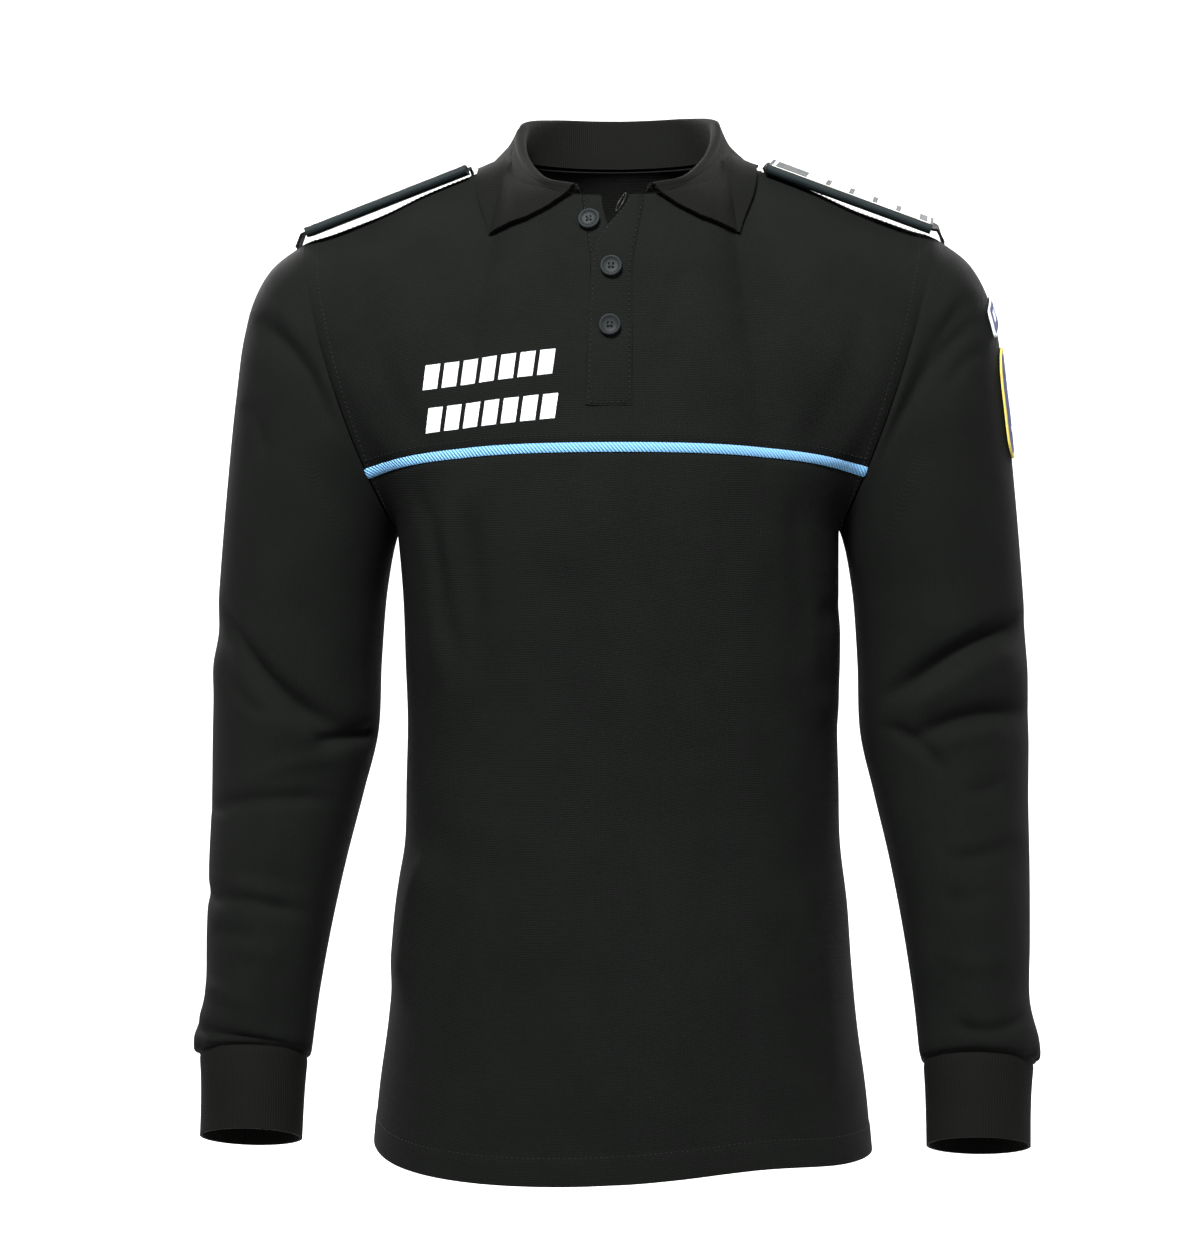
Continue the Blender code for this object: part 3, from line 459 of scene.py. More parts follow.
def torso_panel(share, climb, side):
    """Front (side -1) or back (side 1). climb is -1 at the hem, 0 at the armpit, 1 at the top."""
    share, climb = np.broadcast_arrays(np.asarray(share, float), np.asarray(climb, float))
    sign = np.where(share < 0, -1.0, 1.0)
    reach = np.clip(np.abs(share), 0, 1)
    hem_z = curve(HEM["share"], HEM["front_z" if side < 0 else "back_z"], np.clip(share, -1, 1))
    lower = torso_section(share, ARMPIT_Z + np.clip(climb, -1.01, 0) * (ARMPIT_Z - hem_z), side)

    rise = np.clip(climb, 0, 1)
    over_top = np.clip(climb - 1, 0, 0.1)[..., None]
    edge = reach[..., None] ** 5
    base = torso_section(share, np.full_like(share, ARMPIT_Z), side)
    below = torso_section(share, np.full_like(share, ARMPIT_Z - 0.004), side)
    top, top_rate = top_edge(share, side)
    chord = top - base
    base_rate = (base - below) / 0.004 * (0.16 + 0.05 * edge)
    base_rate = base_rate * (1 - edge) + chord * edge
    top_rate = top_rate * (1 - edge) + chord * edge
    hug = reach ** 2.5
    steady = (1 - hug) * rise + hug * (1 - np.cos(math.pi * rise)) / 2
    upper = hermite(base, base_rate, top, top_rate, steady[..., None])
    upper = upper + top_rate * over_top
    swing = np.sin(math.pi * rise)
    bulge = hug * swing ** (1.8 - 0.8 * reach ** 8)
    upper[..., 1] += side * ARMHOLE_DEPTH * bulge
    upper[..., 1] -= side * ARMHOLE_DEPTH * hug * math.pi * over_top[..., 0]
    scoop = hug * ARMHOLE_SCOOP * swing ** 2
    upper[..., 0] += sign * scoop * ARM_OUT[0]
    upper[..., 2] += scoop * ARM_OUT[2]
    return np.where((climb < 0)[..., None], lower, upper)


def front(share, climb):
    """The shirt's front as one surface."""
    return torso_panel(share, climb, -1)


def back(share, climb):
    """The shirt's back as one surface, with share turned round so that normals point out."""
    return torso_panel(-np.asarray(share, float), climb, 1)


def tube_point(rows, turn, row, scoop=0.0):
    """A point on the wearer's left sleeve or cuff. turn is 0 at the outer line, pi at the inner."""
    knots = np.arange(len(rows["y"]), dtype=float)
    value = {name: curve(knots, column, row) for name, column in rows.items()}
    middle = xyz((value["outer_x"] + value["inner_x"]) / 2, value["y"],
                 (value["outer_z"] + value["inner_z"]) / 2)
    half = xyz((value["outer_x"] - value["inner_x"]) / 2, 0,
               (value["outer_z"] - value["inner_z"]) / 2)
    lean = np.radians(value["lean"])
    ahead = xyz(0, -np.cos(lean), np.sin(lean)) * value["half_depth"][..., None]
    out = scoop * np.sin(turn) ** 2 * np.clip(1 - row / 3, 0, 1)
    return (middle + half * np.cos(turn)[..., None] + ahead * np.sin(turn)[..., None]
            + out[..., None] * ARM_OUT)


def sleeve(turn, row):
    """The wearer's left sleeve as one surface, from the armhole to the cuff."""
    turn, row = np.broadcast_arrays(np.asarray(turn, float), np.asarray(row, float))
    return tube_point(SLEEVE, turn, row, ARMHOLE_SCOOP)


def cuff(turn, row):
    """The wearer's left cuff as one surface."""
    turn, row = np.broadcast_arrays(np.asarray(turn, float), np.asarray(row, float))
    return tube_point(CUFF, turn, row)


def climb_at(surface, share, height):
    """The climb at which each column of the front or back reaches a height."""
    steps = np.linspace(0, 1, 161)
    heights = surface(share[:, None], steps[None, :])[..., 2]
    return np.array([np.interp(z, column, steps) for z, column in zip(height, heights)])


def torso_grid(side, share, climb):
    """Outer points and wall normals of a torso piece, set back by half a gap along its seams."""
    surface = front if side < 0 else back
    points = surface(share, climb)
    normals = normals_of(surface, share, climb)
    turned = share * -side
    sign = np.sign(turned)[..., None]
    at_edge = (np.abs(share) > 0.999)[..., None]
    side_seam = at_edge & (climb <= 0.001)[..., None]
    armhole = at_edge & ~side_seam
    shoulder = ((climb > 0.999) & (np.abs(share) > NECK_SHARE - 0.01))[..., None]
    flat = normals * [1, 0, 1]
    normals = np.where(side_seam | shoulder, unit(flat), normals)
    out = ARM_OUT * np.concatenate([sign, sign, np.ones_like(sign)], axis=-1)
    leaning = np.minimum((normals * out).sum(-1, keepdims=True), 0)
    normals = np.where(armhole, unit(normals - leaning * out), normals)
    points = points + np.where(side_seam | shoulder, [0.0, side * SEAM, 0.0], [0.0, 0.0, 0.0])
    points = points - np.where(armhole, SEAM * out, 0 * out)
    return points, normals


def mirrored(points):
    """The same points on the wearer's right."""
    return points * [-1, 1, 1]


SLIT_SHARE = 0.049
SLIT_SHARE_TOP = 0.078
SLIT_GAP = 0.0006
SIDE_COLUMNS = 13
LOWER_ROWS = 13
TURN_STEPS = 13


def slit_share(climb):
    """How far the placket's slit reaches each side of the middle: it opens at the top."""
    return SLIT_SHARE + (SLIT_SHARE_TOP - SLIT_SHARE) * blend(0.72, 1.0, climb)


def seam_height(share):
    """The height of the chest seam, which runs lower towards the armholes."""
    return PIPING_TOP - PIPING_DROP * share ** 2


def side_spread(count):
    """Shares from the slit's edge (0) out to the armhole (1), evenly spaced."""
    return np.linspace(0, 1, count + 1)


def yoke_shares(climb):
    """One row of shares across the yoke: the left side, three cells in the middle, the right."""
    edge = slit_share(climb) + SLIT_GAP
    right = edge + (1 - edge) * side_spread(SIDE_COLUMNS)
    middle = edge * np.array([-1 / 3, 1 / 3])
    return np.concatenate([-right[::-1], middle, right])


FOLD_COLUMNS = "start_x start_z end_x end_z bow width depth"
FRONT_FOLDS = table(
    FOLD_COLUMNS,
    (-0.126, -0.250, -0.118, -0.372, -0.006, 0.014, 0.0030),
    (-0.104, -0.262, -0.098, -0.365, -0.004, 0.012, -0.0020),
    (-0.132, -0.500, -0.150, -0.590, 0.004, 0.016, 0.0025),
    (0.147, -0.330, 0.146, -0.400, 0.004, 0.012, 0.0020),
)
SLEEVE_FOLDS = {
    "right": table(
        FOLD_COLUMNS,
        (-0.290, -0.332, -0.208, -0.404, 0.006, 0.012, -0.0045),
        (-0.287, -0.352, -0.222, -0.420, 0.004, 0.014, 0.0030),
        (-0.209, -0.415, -0.176, -0.409, 0.000, 0.010, -0.0030),
        (-0.286, -0.520, -0.214, -0.512, -0.006, 0.011, -0.0030),
        (-0.258, -0.120, -0.196, -0.192, -0.006, 0.013, -0.0030),
    ),
    "left": table(
        FOLD_COLUMNS,
        (0.283, -0.337, 0.198, -0.383, 0.004, 0.013, -0.0050),
        (0.285, -0.395, 0.212, -0.410, 0.004, 0.012, -0.0035),
        (0.284, -0.365, 0.205, -0.395, 0.004, 0.012, 0.0025),
        (0.248, -0.110, 0.196, -0.196, -0.006, 0.013, -0.0030),
        (0.282, -0.495, 0.236, -0.500, 0.000, 0.012, -0.0020),
    ),
}


def fold_height(rows, points):
    """How far each point stands out: soft ridges and troughs, placed as seen from the front."""
    height = np.zeros(points.shape[:-1])
    for values in zip(*rows.values()):
        start_x, start_z, end_x, end_z, bow, width, depth = values
        run_x, run_z = end_x - start_x, end_z - start_z
        length = math.hypot(run_x, run_z)
        ahead = ((points[..., 0] - start_x) * run_x + (points[..., 2] - start_z) * run_z) / length ** 2
        aside = ((points[..., 0] - start_x) * run_z - (points[..., 2] - start_z) * run_x) / length
        aside = aside - bow * 4 * ahead * (1 - ahead)
        fade = blend(-0.15, 0.2, ahead) * blend(-0.15, 0.2, 1 - ahead)
        height += depth * fade * np.exp(-(aside / width) ** 2)
    return height


def locate(surface, x, z, share, climb):
    """The share and climb at which a surface passes through a place seen from the front."""
    for _ in range(30):
        here = surface(share, climb)
        by_share = (surface(share + 0.002, climb) - here) / 0.002
        by_climb = (surface(share, climb + 0.002) - here) / 0.002
        matrix = np.array([[by_share[0], by_climb[0]], [by_share[2], by_climb[2]]])
        step = np.linalg.solve(matrix, np.array([x - here[0], z - here[2]]))
        share, climb = share + 0.7 * step[0], climb + 0.7 * step[1]
    return share, climb


COLLAR_HALF = table(
    "around  fold_x   fold_y   fold_z   edge_share edge_climb",
    (0.00, 0.0000, 0.0680, 0.0390, 0.000, 0.900),
    (0.08, 0.0185, 0.0665, 0.0389, 0.080, 0.900),
    (0.22, 0.0470, 0.0540, 0.0370, 0.220, 0.900),
    (0.36, 0.0660, 0.0300, 0.0300, 0.380, 0.905),
    (0.50, 0.0680, 0.0000, 0.0130, 0.510, 1.000),
    (0.66, 0.0620, -0.0300, -0.0080, 0.515, 0.900),
    (0.82, 0.0480, -0.0580, -0.0270, 0.500, 0.765),
    (1.00, 0.0240, -0.0765, -0.0360, 0.440, 0.635),
)
COLLAR_END_SHARE = 0.086
COLLAR_FOLD_RADIUS = 0.0027
COLLAR_CLEARANCE = 0.0009
COLLAR_INSET = 0.008
COLLAR_SEAT = 0.0008
COLLAR_END_BULGE = 0.007


def collar_point(around, across):
    """The collar's visible side: the stand inside the neck, the fold, and the leaf that falls."""
    reach = np.abs(around)
    sign = np.where(around < 0, -1.0, 1.0)
    row = {name: curve(COLLAR_HALF["around"], column, reach) for name, column in COLLAR_HALF.items()}
    behind = reach < 0.5
    back_share = reach / 0.5 * NECK_SHARE
    front_share = NECK_SHARE - (reach - 0.5) / 0.5 * (NECK_SHARE - COLLAR_END_SHARE)
    seat = np.where(behind[..., None], top_edge(back_share, 1)[0], top_edge(front_share, -1)[0])
    seat = seat * [1 - COLLAR_INSET, 1 - COLLAR_INSET, 1] + [0, 0, COLLAR_SEAT]
    fold = xyz(row["fold_x"], row["fold_y"], row["fold_z"])
    full = np.ones_like(reach)
    edge = np.where(
        behind[..., None],
        torso_panel(row["edge_share"], np.minimum(row["edge_climb"], full), 1),
        torso_panel(row["edge_share"], np.minimum(row["edge_climb"], full), -1))
    away = edge - fold
    away[..., 2] = 0
    away = unit(away)
    up = np.array([0.0, 0.0, 1.0])
    radius = COLLAR_FOLD_RADIUS
    knots = [(0.0, seat), (0.12, (seat + fold) / 2), (0.24, fold)]
    for turn in (45, 90, 135, 180):
        bend = math.radians(turn)
        place = fold + away * radius * (1 - math.cos(bend)) + up * radius * math.sin(bend)
        knots.append((0.24 + 0.16 * turn / 180, place))
    shoulder = knots[-1][1]
    for part_way in (0.25, 0.5, 0.75, 1.0):
        bulge = COLLAR_END_BULGE * math.sin(math.pi * part_way) * blend(0.75, 1.0, reach)
        place = shoulder + (edge - shoulder) * part_way - up * bulge[..., None]
        knots.append((0.4 + 0.6 * part_way, place))
    places = np.array([place for place, _ in knots])
    piece = np.clip(np.searchsorted(places, across, side="right") - 1, 0, len(knots) - 2)
    low = np.choose(piece[..., None], [point for _, point in knots])
    high = np.choose(piece[..., None] + 1, [point for _, point in knots])
    t = (across - places[piece]) / (places[piece + 1] - places[piece])
    point = low + (high - low) * t[..., None]
    return point * xyz(sign, 1, 1)


def outer_tree():
    """A lookup of the nearest place on the upper body and the tops of the sleeves."""
    share, climb = np.meshgrid(np.linspace(-1, 1, 81), np.linspace(0.2, 1, 49))
    turn, row = np.meshgrid(np.linspace(-math.pi, math.pi, 61)[::-1], np.linspace(0, 4, 17))
    arm = sleeve(turn, row)
    grids = (front(share, climb), back(share, climb), arm[:, ::-1], mirrored(arm))
    vertices, faces = [], []
    for grid in grids:
        start = len(vertices)
        rows, columns = grid.shape[:2]
        vertices += [Vector(point) for point in grid.reshape(-1, 3)]
        for i in range(rows - 1):
            for j in range(columns - 1):
                corner = start + i * columns + j
                faces.append((corner, corner + 1, corner + columns + 1, corner + columns))
    return BVHTree.FromPolygons(vertices, faces)


def keep_off(points, tree, clearance):
    """Moves points that lie closer than the clearance out along the nearest face's normal."""
    moved = points.reshape(-1, 3).copy()
    for index, point in enumerate(moved):
        place, normal, _, _ = tree.find_nearest(Vector(point))
        height = (Vector(point) - place).dot(normal)
        if height < clearance:
            moved[index] = np.array(Vector(point) + normal * (clearance - height))
    return moved.reshape(points.shape)


def grid_normals(points):
    """Unit normals of a grid whose columns and rows run so that their cross product points out."""
    return unit(np.cross(np.gradient(points, axis=1), np.gradient(points, axis=0)))


STRAP_HALF_WIDTH = 0.0215
SLIDE_HALF_WIDTH = 0.0250
SLIDE_HEIGHT = 0.0074
SLIDE_WALL = 0.0012
SLIDE_START, SLIDE_END = 0.1090, 0.2245
STRAP_START, STRAP_END = 0.1030, 0.2320
STRAP_SLOPE = math.radians(20.8)
STRAP_MIDDLE = (0.105, -0.0045)
STRAP_ROLL = {"left": math.radians(17), "right": math.radians(12)}


def strap_frame(side):
    """The strap's run down the shoulder, its width towards the back, and the way up from it."""
    run = np.array([math.cos(STRAP_SLOPE), 0, -math.sin(STRAP_SLOPE)])
    rise = np.array([math.sin(STRAP_SLOPE), 0, math.cos(STRAP_SLOPE)])
    roll = STRAP_ROLL[side]
    width = np.array([0, math.cos(roll), 0]) + rise * math.sin(roll)
    return run, width, np.cross(run, width)


def strap_line(side, x):
    """The middle of the strap where it reaches this far out."""
    run, _, _ = strap_frame(side)
    start_x, start_z = STRAP_MIDDLE
    return np.array([start_x, 0, start_z]) + run * (x - start_x) / run[0]


def land(row, tree, clearance):
    """Drops a row of points straight down until it lies the clearance above the shoulder."""
    landed = []
    for point in row:
        place, normal, _, _ = tree.ray_cast(Vector(point) + Vector((0, 0, 0.05)), Vector((0, 0, -1)))
        landed.append(np.array(place + normal * clearance))
    return np.array(landed)


BUTTONS = table(
    "x        z        share  raised",
    (-0.0160, -0.0580, -0.05, 0),
    (-0.0005, -0.0920, 0.0, 1),
    (-0.0010, -0.1330, 0.0, 1),
)


BUTTON_NAMES = ("button_top", "button_middle", "button_low")

PATCHES = {
    "patch_tab": {"top": 1.66, "bottom": 2.10, "half_angle": 0.50, "arch": 0.10, "rounded": 0.06},
    "patch_badge": {"top": 2.42, "bottom": 3.75, "half_angle": 0.46, "arch": 0.0, "rounded": 0.30},
}


class ShirtSizes(bpy.types.PropertyGroup):
    """Sizes of the finer work, in metres."""

    stitch: bpy.props.FloatProperty(
        name="Stitch", description="Length of one stitch", default=0.0027, unit="LENGTH")
    stitch_gap: bpy.props.FloatProperty(
        name="Stitch gap", description="Bare cloth between two stitches", default=0.0009, unit="LENGTH")
    thread: bpy.props.FloatProperty(
        name="Thread", description="Thickness of the sewing thread", default=0.00045, unit="LENGTH")
    hem: bpy.props.FloatProperty(
        name="Hem", description="Depth of the turned hem", default=0.019, unit="LENGTH")
    pique_cell: bpy.props.FloatProperty(
        name="Pique cell", description="Width of one cell of the pique knit", default=0.0017, unit="LENGTH")
    rib: bpy.props.FloatProperty(
        name="Rib", description="Width of one rib of the cuffs", default=0.0019, unit="LENGTH")
    collar_rib: bpy.props.FloatProperty(
        name="Collar rib", description="Width of one rib of the collar", default=0.0016, unit="LENGTH")
    crease_scale: bpy.props.FloatProperty(
        name="Creases", description="Depth of the creases against their measured depth", default=1.5,
        min=0.0, max=2.0, subtype="FACTOR")


def colour_property(name, description, default):
    """A colour that a user may change."""
    return bpy.props.FloatVectorProperty(
        name=name, description=description, default=default, subtype="COLOR", size=3, min=0.0, max=1.0)


class ShirtColours(bpy.types.PropertyGroup):
    """Colours of the cloth and its trimmings."""

    pique: colour_property("Pique", "The shirt's knitted cloth", (0.0054, 0.0061, 0.0054))
    rib: colour_property("Rib", "The collar and cuffs", (0.0046, 0.0050, 0.0042))
    thread: colour_property("Thread", "The sewing thread", (0.0085, 0.0090, 0.0085))
    piping: colour_property("Chest band", "The pale band across the chest", (0.150, 0.370, 0.640))
    print: colour_property("Print", "The plain blocks on the chest", (0.72, 0.74, 0.76))
    slide: colour_property("Slide", "The stiff rank slides", (0.0016, 0.0068, 0.0078))
    silver: colour_property("Silver thread", "The slides' border and bars", (0.56, 0.54, 0.48))
    patch: colour_property("Patch", "The ground of the sleeve patches", (0.0120, 0.0170, 0.1300))
    gold: colour_property("Gold thread", "The badge's border", (0.62, 0.50, 0.10))
    button: colour_property("Button", "The placket's buttons", (0.0120, 0.0142, 0.0150))
    backdrop: colour_property("Backdrop", "The pale floor and wall", (0.30, 0.30, 0.30))


def sizes():
    return bpy.context.scene.shirt_sizes


def colours():
    return bpy.context.scene.shirt_colours


def pique_finish(name="pique", printed=False):
    """Black pique: a lattice of small raised cells with painted shade in the hollows between them, uneven dye, and on
    the chest the plain blocks.
    """
    base = tuple(colours().pique)
    shade = Shade(name, base, 0.90, Specular_IOR_Level=0.06)
    u, v = shade.cloth()
    pitch = sizes().pique_cell
    lattice = (u + v).wave(pitch * 1.41) * (u - v).wave(pitch * 1.41)
    uneven = shade.noise(26.0)
    dark, light = shades(base, 0.45)
    grain = shade.noise(700.0, 1.0)
    # Painted shade: the lattice and grain terms follow the relief, so raised cells are lighter and the hollows darker;
    # the uneven term is random tone.
    colour = shade.tint(dark, light, lattice * 0.30 + grain * 0.5 + uneven * 0.7 - 0.12)
    if printed:
        mask = chest_blocks(shade) * (shade.cloth()[0] < INSIDE_SHIFT[0] / 2)
        colour = shade.tint(colour, (*colours().print, 1), mask)
    shade.use(colour, 0.80 + uneven * 0.12)
    shade.raise_by(lattice * 0.5 + grain * 0.4, 0.0005, 0.7)
    return shade.material


PRINT_ROWS = table(
    "start_x start_z end_x  end_z",
    (-0.1320, -0.1740, -0.0380, -0.1653),
    (-0.1300, -0.2036, -0.0350, -0.1956),
)
PRINT_HEIGHT = 0.0168
PRINT_PITCH = 0.0135
PRINT_SLANT = 0.22


def chest_blocks(shade):
    """Two tilted rows of plain slanted blocks, seen from the front of the chest."""
    x, _, z = shade.place()
    mask = 0.0
    for start_x, start_z, end_x, end_z in zip(*PRINT_ROWS.values()):
        length = math.hypot(end_x - start_x, end_z - start_z)
        run_x, run_z = (end_x - start_x) / length, (end_z - start_z) / length
        along = (x - start_x) * run_x + (z - start_z) * run_z
        above = (z - start_z) * run_x - (x - start_x) * run_z
        slanted = along - above * PRINT_SLANT
        block = slanted.cell(PRINT_PITCH).within(0.10, 0.86)
        mask = above.within(0.0, PRINT_HEIGHT) * slanted.within(0.0, length) * block + mask
    return mask


def rib_finish(name, pitch, along):
    """Rib knit: raised lines along or across the piece, with small loops in each, and painted shade in the grooves
    between the lines.
    """
    base = tuple(colours().rib)
    shade = Shade(name, base, 0.90, Specular_IOR_Level=0.06)
    u, v = shade.cloth()
    line, run = (v, u) if along else (u, v)
    ridge = line.wave(pitch)
    loops = run.wave(0.0014) * 0.25
    uneven = shade.noise(30.0)
    dark, light = shades(base, 0.45)
    # Painted shade: the ridge term darkens the grooves between the ribs; the uneven term is random tone.
    shade.use(shade.tint(dark, light, ridge * 0.16 + uneven * 0.5 + 0.3), 0.84 + uneven * 0.08)
    shade.raise_by(ridge * 0.7 + loops, 0.0004, 0.5)
    return shade.material


def piping_finish():
    """Pale blue band with fine diagonal ribs and painted shade in the grooves between them."""
    base = tuple(colours().piping)
    shade = Shade("piping", base, 0.75, Specular_IOR_Level=0.3, Sheen_Weight=0.15)
    u, v = shade.cloth()
    ridge = (u + v * 0.8).wave(0.0026)
    dark, light = shades(base, 0.38)
    # Painted shade: the ridge term darkens the grooves between the ribs.
    shade.use(shade.tint(dark, light, ridge * 0.42 + 0.5), 0.72 + ridge * 0.05)
    shade.raise_by(ridge, 0.0005, 0.8)
    return shade.material


def strap_finish():
    """Black twill of the shoulder straps, with painted shade in the grooves of the twill."""
    base = tuple(colours().pique)
    shade = Shade("strap", base, 0.85, Specular_IOR_Level=0.10)
    u, v = shade.cloth()
    twill = (u + v).wave(0.0011)
    dark, light = shades(base, 0.35)
    # Painted shade: the twill term darkens the grooves of the weave.
    shade.use(shade.tint(dark, light, twill * 0.4 + 0.5), 0.80 + twill * 0.04)
    shade.raise_by(twill, 0.0002, 0.6)
    return shade.material


def thread_finish(name="thread", colour=None):
    """Twisted sewing thread."""
    base = tuple(colours().thread) if colour is None else colour
    shade = Shade(name, base, 0.6, Specular_IOR_Level=0.35)
    uneven = shade.noise(600.0, 1.0)
    dark, light = shades(base, 0.3)
    shade.use(shade.tint(dark, light, uneven), 0.55 + uneven * 0.15)
    return shade.material


SLIDE_LENGTH = 0.1155
SLIDE_BARS = 5


def slide_finish():
    """Dark stiff cloth with a silver border and five plain bars, raised as embroidery, with painted shade in the
    grooves of the weave and the satin stitches.
    """
    ground = tuple(colours().slide)
    shade = Shade("slide", ground, 0.70, Specular_IOR_Level=0.3)
    along, across = shade.cloth()
    inside = across.size().within(0.0, 0.0225) * along.within(0.0022, SLIDE_LENGTH - 0.0022)
    border = (1 - across.size().within(0.0, 0.0205) * along.within(0.0042, SLIDE_LENGTH - 0.0042)) * inside
    step = (along - 0.026).cell(0.0166)
    bars = step.within(0.0, 0.80) * along.within(0.026, 0.026 + SLIDE_BARS * 0.0166 - 0.003)
    bars = bars * across.size().within(0.0, 0.0170)
    silver = border.maths("MAXIMUM", bars)
    satin = (across + along * 0.3).wave(0.0009)
    weave = (along + across).wave(0.0010)
    dark, light = shades(ground, 0.4)
    thread_dark, thread_light = shades(tuple(colours().silver), 0.25)
    # Painted shade: the weave and satin terms darken the grooves between threads, in step with the relief.
    cloth = shade.tint(dark, light, weave * 0.4 + 0.5)
    embroidery = shade.tint(thread_dark, thread_light, satin * 0.4 + 0.5)
    shade.use(shade.tint(cloth, embroidery, silver), 0.72 - silver * 0.25)
    shade.raise_by(silver * (1 + satin * 0.25) + weave * 0.12, 0.0006, 0.8)
    return shade.material


def badge_finish(width, height, name, bordered):
    """Embroidered patch: blue ground, a thin border, and plain pale bars or bands, with painted shade in the grooves
    between the ground's stitches.
    """
    ground = tuple(colours().patch)
    shade = Shade(name, ground, 0.72, Specular_IOR_Level=0.3)
    u, v = shade.cloth()
    side, fall = u / (width / 2), v / height
    rim = 1 - side.size().within(-0.1, 0.93) * fall.within(0.05, 0.95)
    stitch = (u + v * 0.4).wave(0.0010)
    if bordered:
        disc = (side * side + (fall * 2.4 - 1.05) * (fall * 2.4 - 1.05)) < 0.30
        hole = (side * side + (fall * 2.4 - 1.05) * (fall * 2.4 - 1.05)) < 0.17
        pale = (disc - hole) + fall.within(0.72, 0.77) * side.size().within(-0.1, 0.62)
        pale = pale + fall.within(0.82, 0.86) * side.size().within(-0.1, 0.42)
        rim_colour = (*colours().gold, 1)
    else:
        block = (side * 3.5).maths("FRACT").within(0.18, 0.80)
        pale = fall.within(0.30, 0.68) * block * side.size().within(-0.1, 0.80)
        rim_colour = (*colours().print, 1)
    dark, light = shades(ground, 0.35)
    # Painted shade: the stitch term darkens the grooves between the ground's stitches.
    cloth = shade.tint(dark, light, stitch * 0.4 + 0.5)
    marked = shade.tint(cloth, (*colours().print, 1), pale)
    shade.use(shade.tint(marked, rim_colour, rim), 0.72 - pale * 0.1)
    shade.raise_by(pale + rim + stitch * 0.25, 0.0005, 0.8)
    return shade.material


def seam_finish():
    """The dark cloth turned in along a seam."""
    base = tuple(colours().pique)
    shade = Shade("seam_turning", base, 0.85, Specular_IOR_Level=0.05)
    dark, light = shades(base, 0.4)
    shade.use(shade.tint(dark, light, shade.noise(300.0)))
    return shade.material


def button_finish():
    """Dark moulded plastic with faint clouding."""
    base = tuple(colours().button)
    shade = Shade("button", base, 0.42, Specular_IOR_Level=0.05)
    cloud = shade.noise(160.0)
    dark, light = shades(base, 0.35)
    shade.use(shade.tint(dark, light, cloud), 0.38 + cloud * 0.12)
    return shade.material


BODY_CREASES = table(
    FOLD_COLUMNS,
    (-0.136, -0.240, -0.108, -0.372, -0.006, 0.0075, -0.0022),
    (-0.120, -0.248, -0.113, -0.350, 0.004, 0.0065, -0.0018),
    (-0.096, -0.250, -0.093, -0.330, 0.003, 0.0090, -0.0010),
    (-0.126, -0.488, -0.147, -0.592, 0.004, 0.0080, 0.0018),
    (-0.108, -0.540, -0.118, -0.660, 0.004, 0.0100, -0.0010),
    (0.149, -0.320, 0.147, -0.385, 0.003, 0.0070, -0.0018),
    (0.126, -0.250, 0.136, -0.345, 0.004, 0.0080, -0.0012),
    (0.104, -0.300, 0.112, -0.420, 0.006, 0.0120, -0.0008),
    (0.134, -0.520, 0.150, -0.660, -0.005, 0.0100, 0.0012),
    (0.040, -0.560, 0.052, -0.700, 0.004, 0.0140, 0.0009),
    (-0.040, -0.590, -0.046, -0.700, 0.004, 0.0130, -0.0008),
    (-0.060, -0.225, -0.020, -0.300, 0.010, 0.0150, 0.0007),
)
CHEST_CREASES = table(
    FOLD_COLUMNS,
    (-0.172, -0.120, -0.128, -0.214, 0.006, 0.0100, -0.0012),
    (-0.188, -0.150, -0.150, -0.222, 0.005, 0.0080, 0.0010),
    (0.176, -0.110, 0.132, -0.212, -0.006, 0.0100, -0.0012),
    (0.186, -0.150, 0.150, -0.224, -0.005, 0.0080, 0.0010),
    (-0.045, -0.075, -0.028, -0.120, 0.004, 0.0080, -0.0007),
    (0.046, -0.090, 0.030, -0.140, -0.004, 0.0080, -0.0007),
)
BACK_CREASES = table(
    FOLD_COLUMNS,
    (-0.130, -0.250, -0.104, -0.380, -0.006, 0.0080, -0.0020),
    (0.132, -0.245, 0.108, -0.370, 0.006, 0.0080, -0.0020),
    (-0.090, -0.420, -0.020, -0.455, 0.010, 0.0120, -0.0018),
    (0.088, -0.435, 0.016, -0.470, -0.008, 0.0120, -0.0016),
    (-0.070, -0.470, 0.040, -0.500, 0.008, 0.0130, 0.0014),
    (-0.120, -0.500, -0.140, -0.640, 0.004, 0.0100, 0.0014),
    (0.120, -0.510, 0.142, -0.650, -0.004, 0.0100, 0.0014),
    (-0.150, -0.140, -0.110, -0.235, 0.008, 0.0120, -0.0012),
    (0.152, -0.140, 0.112, -0.235, -0.008, 0.0120, -0.0012),
)
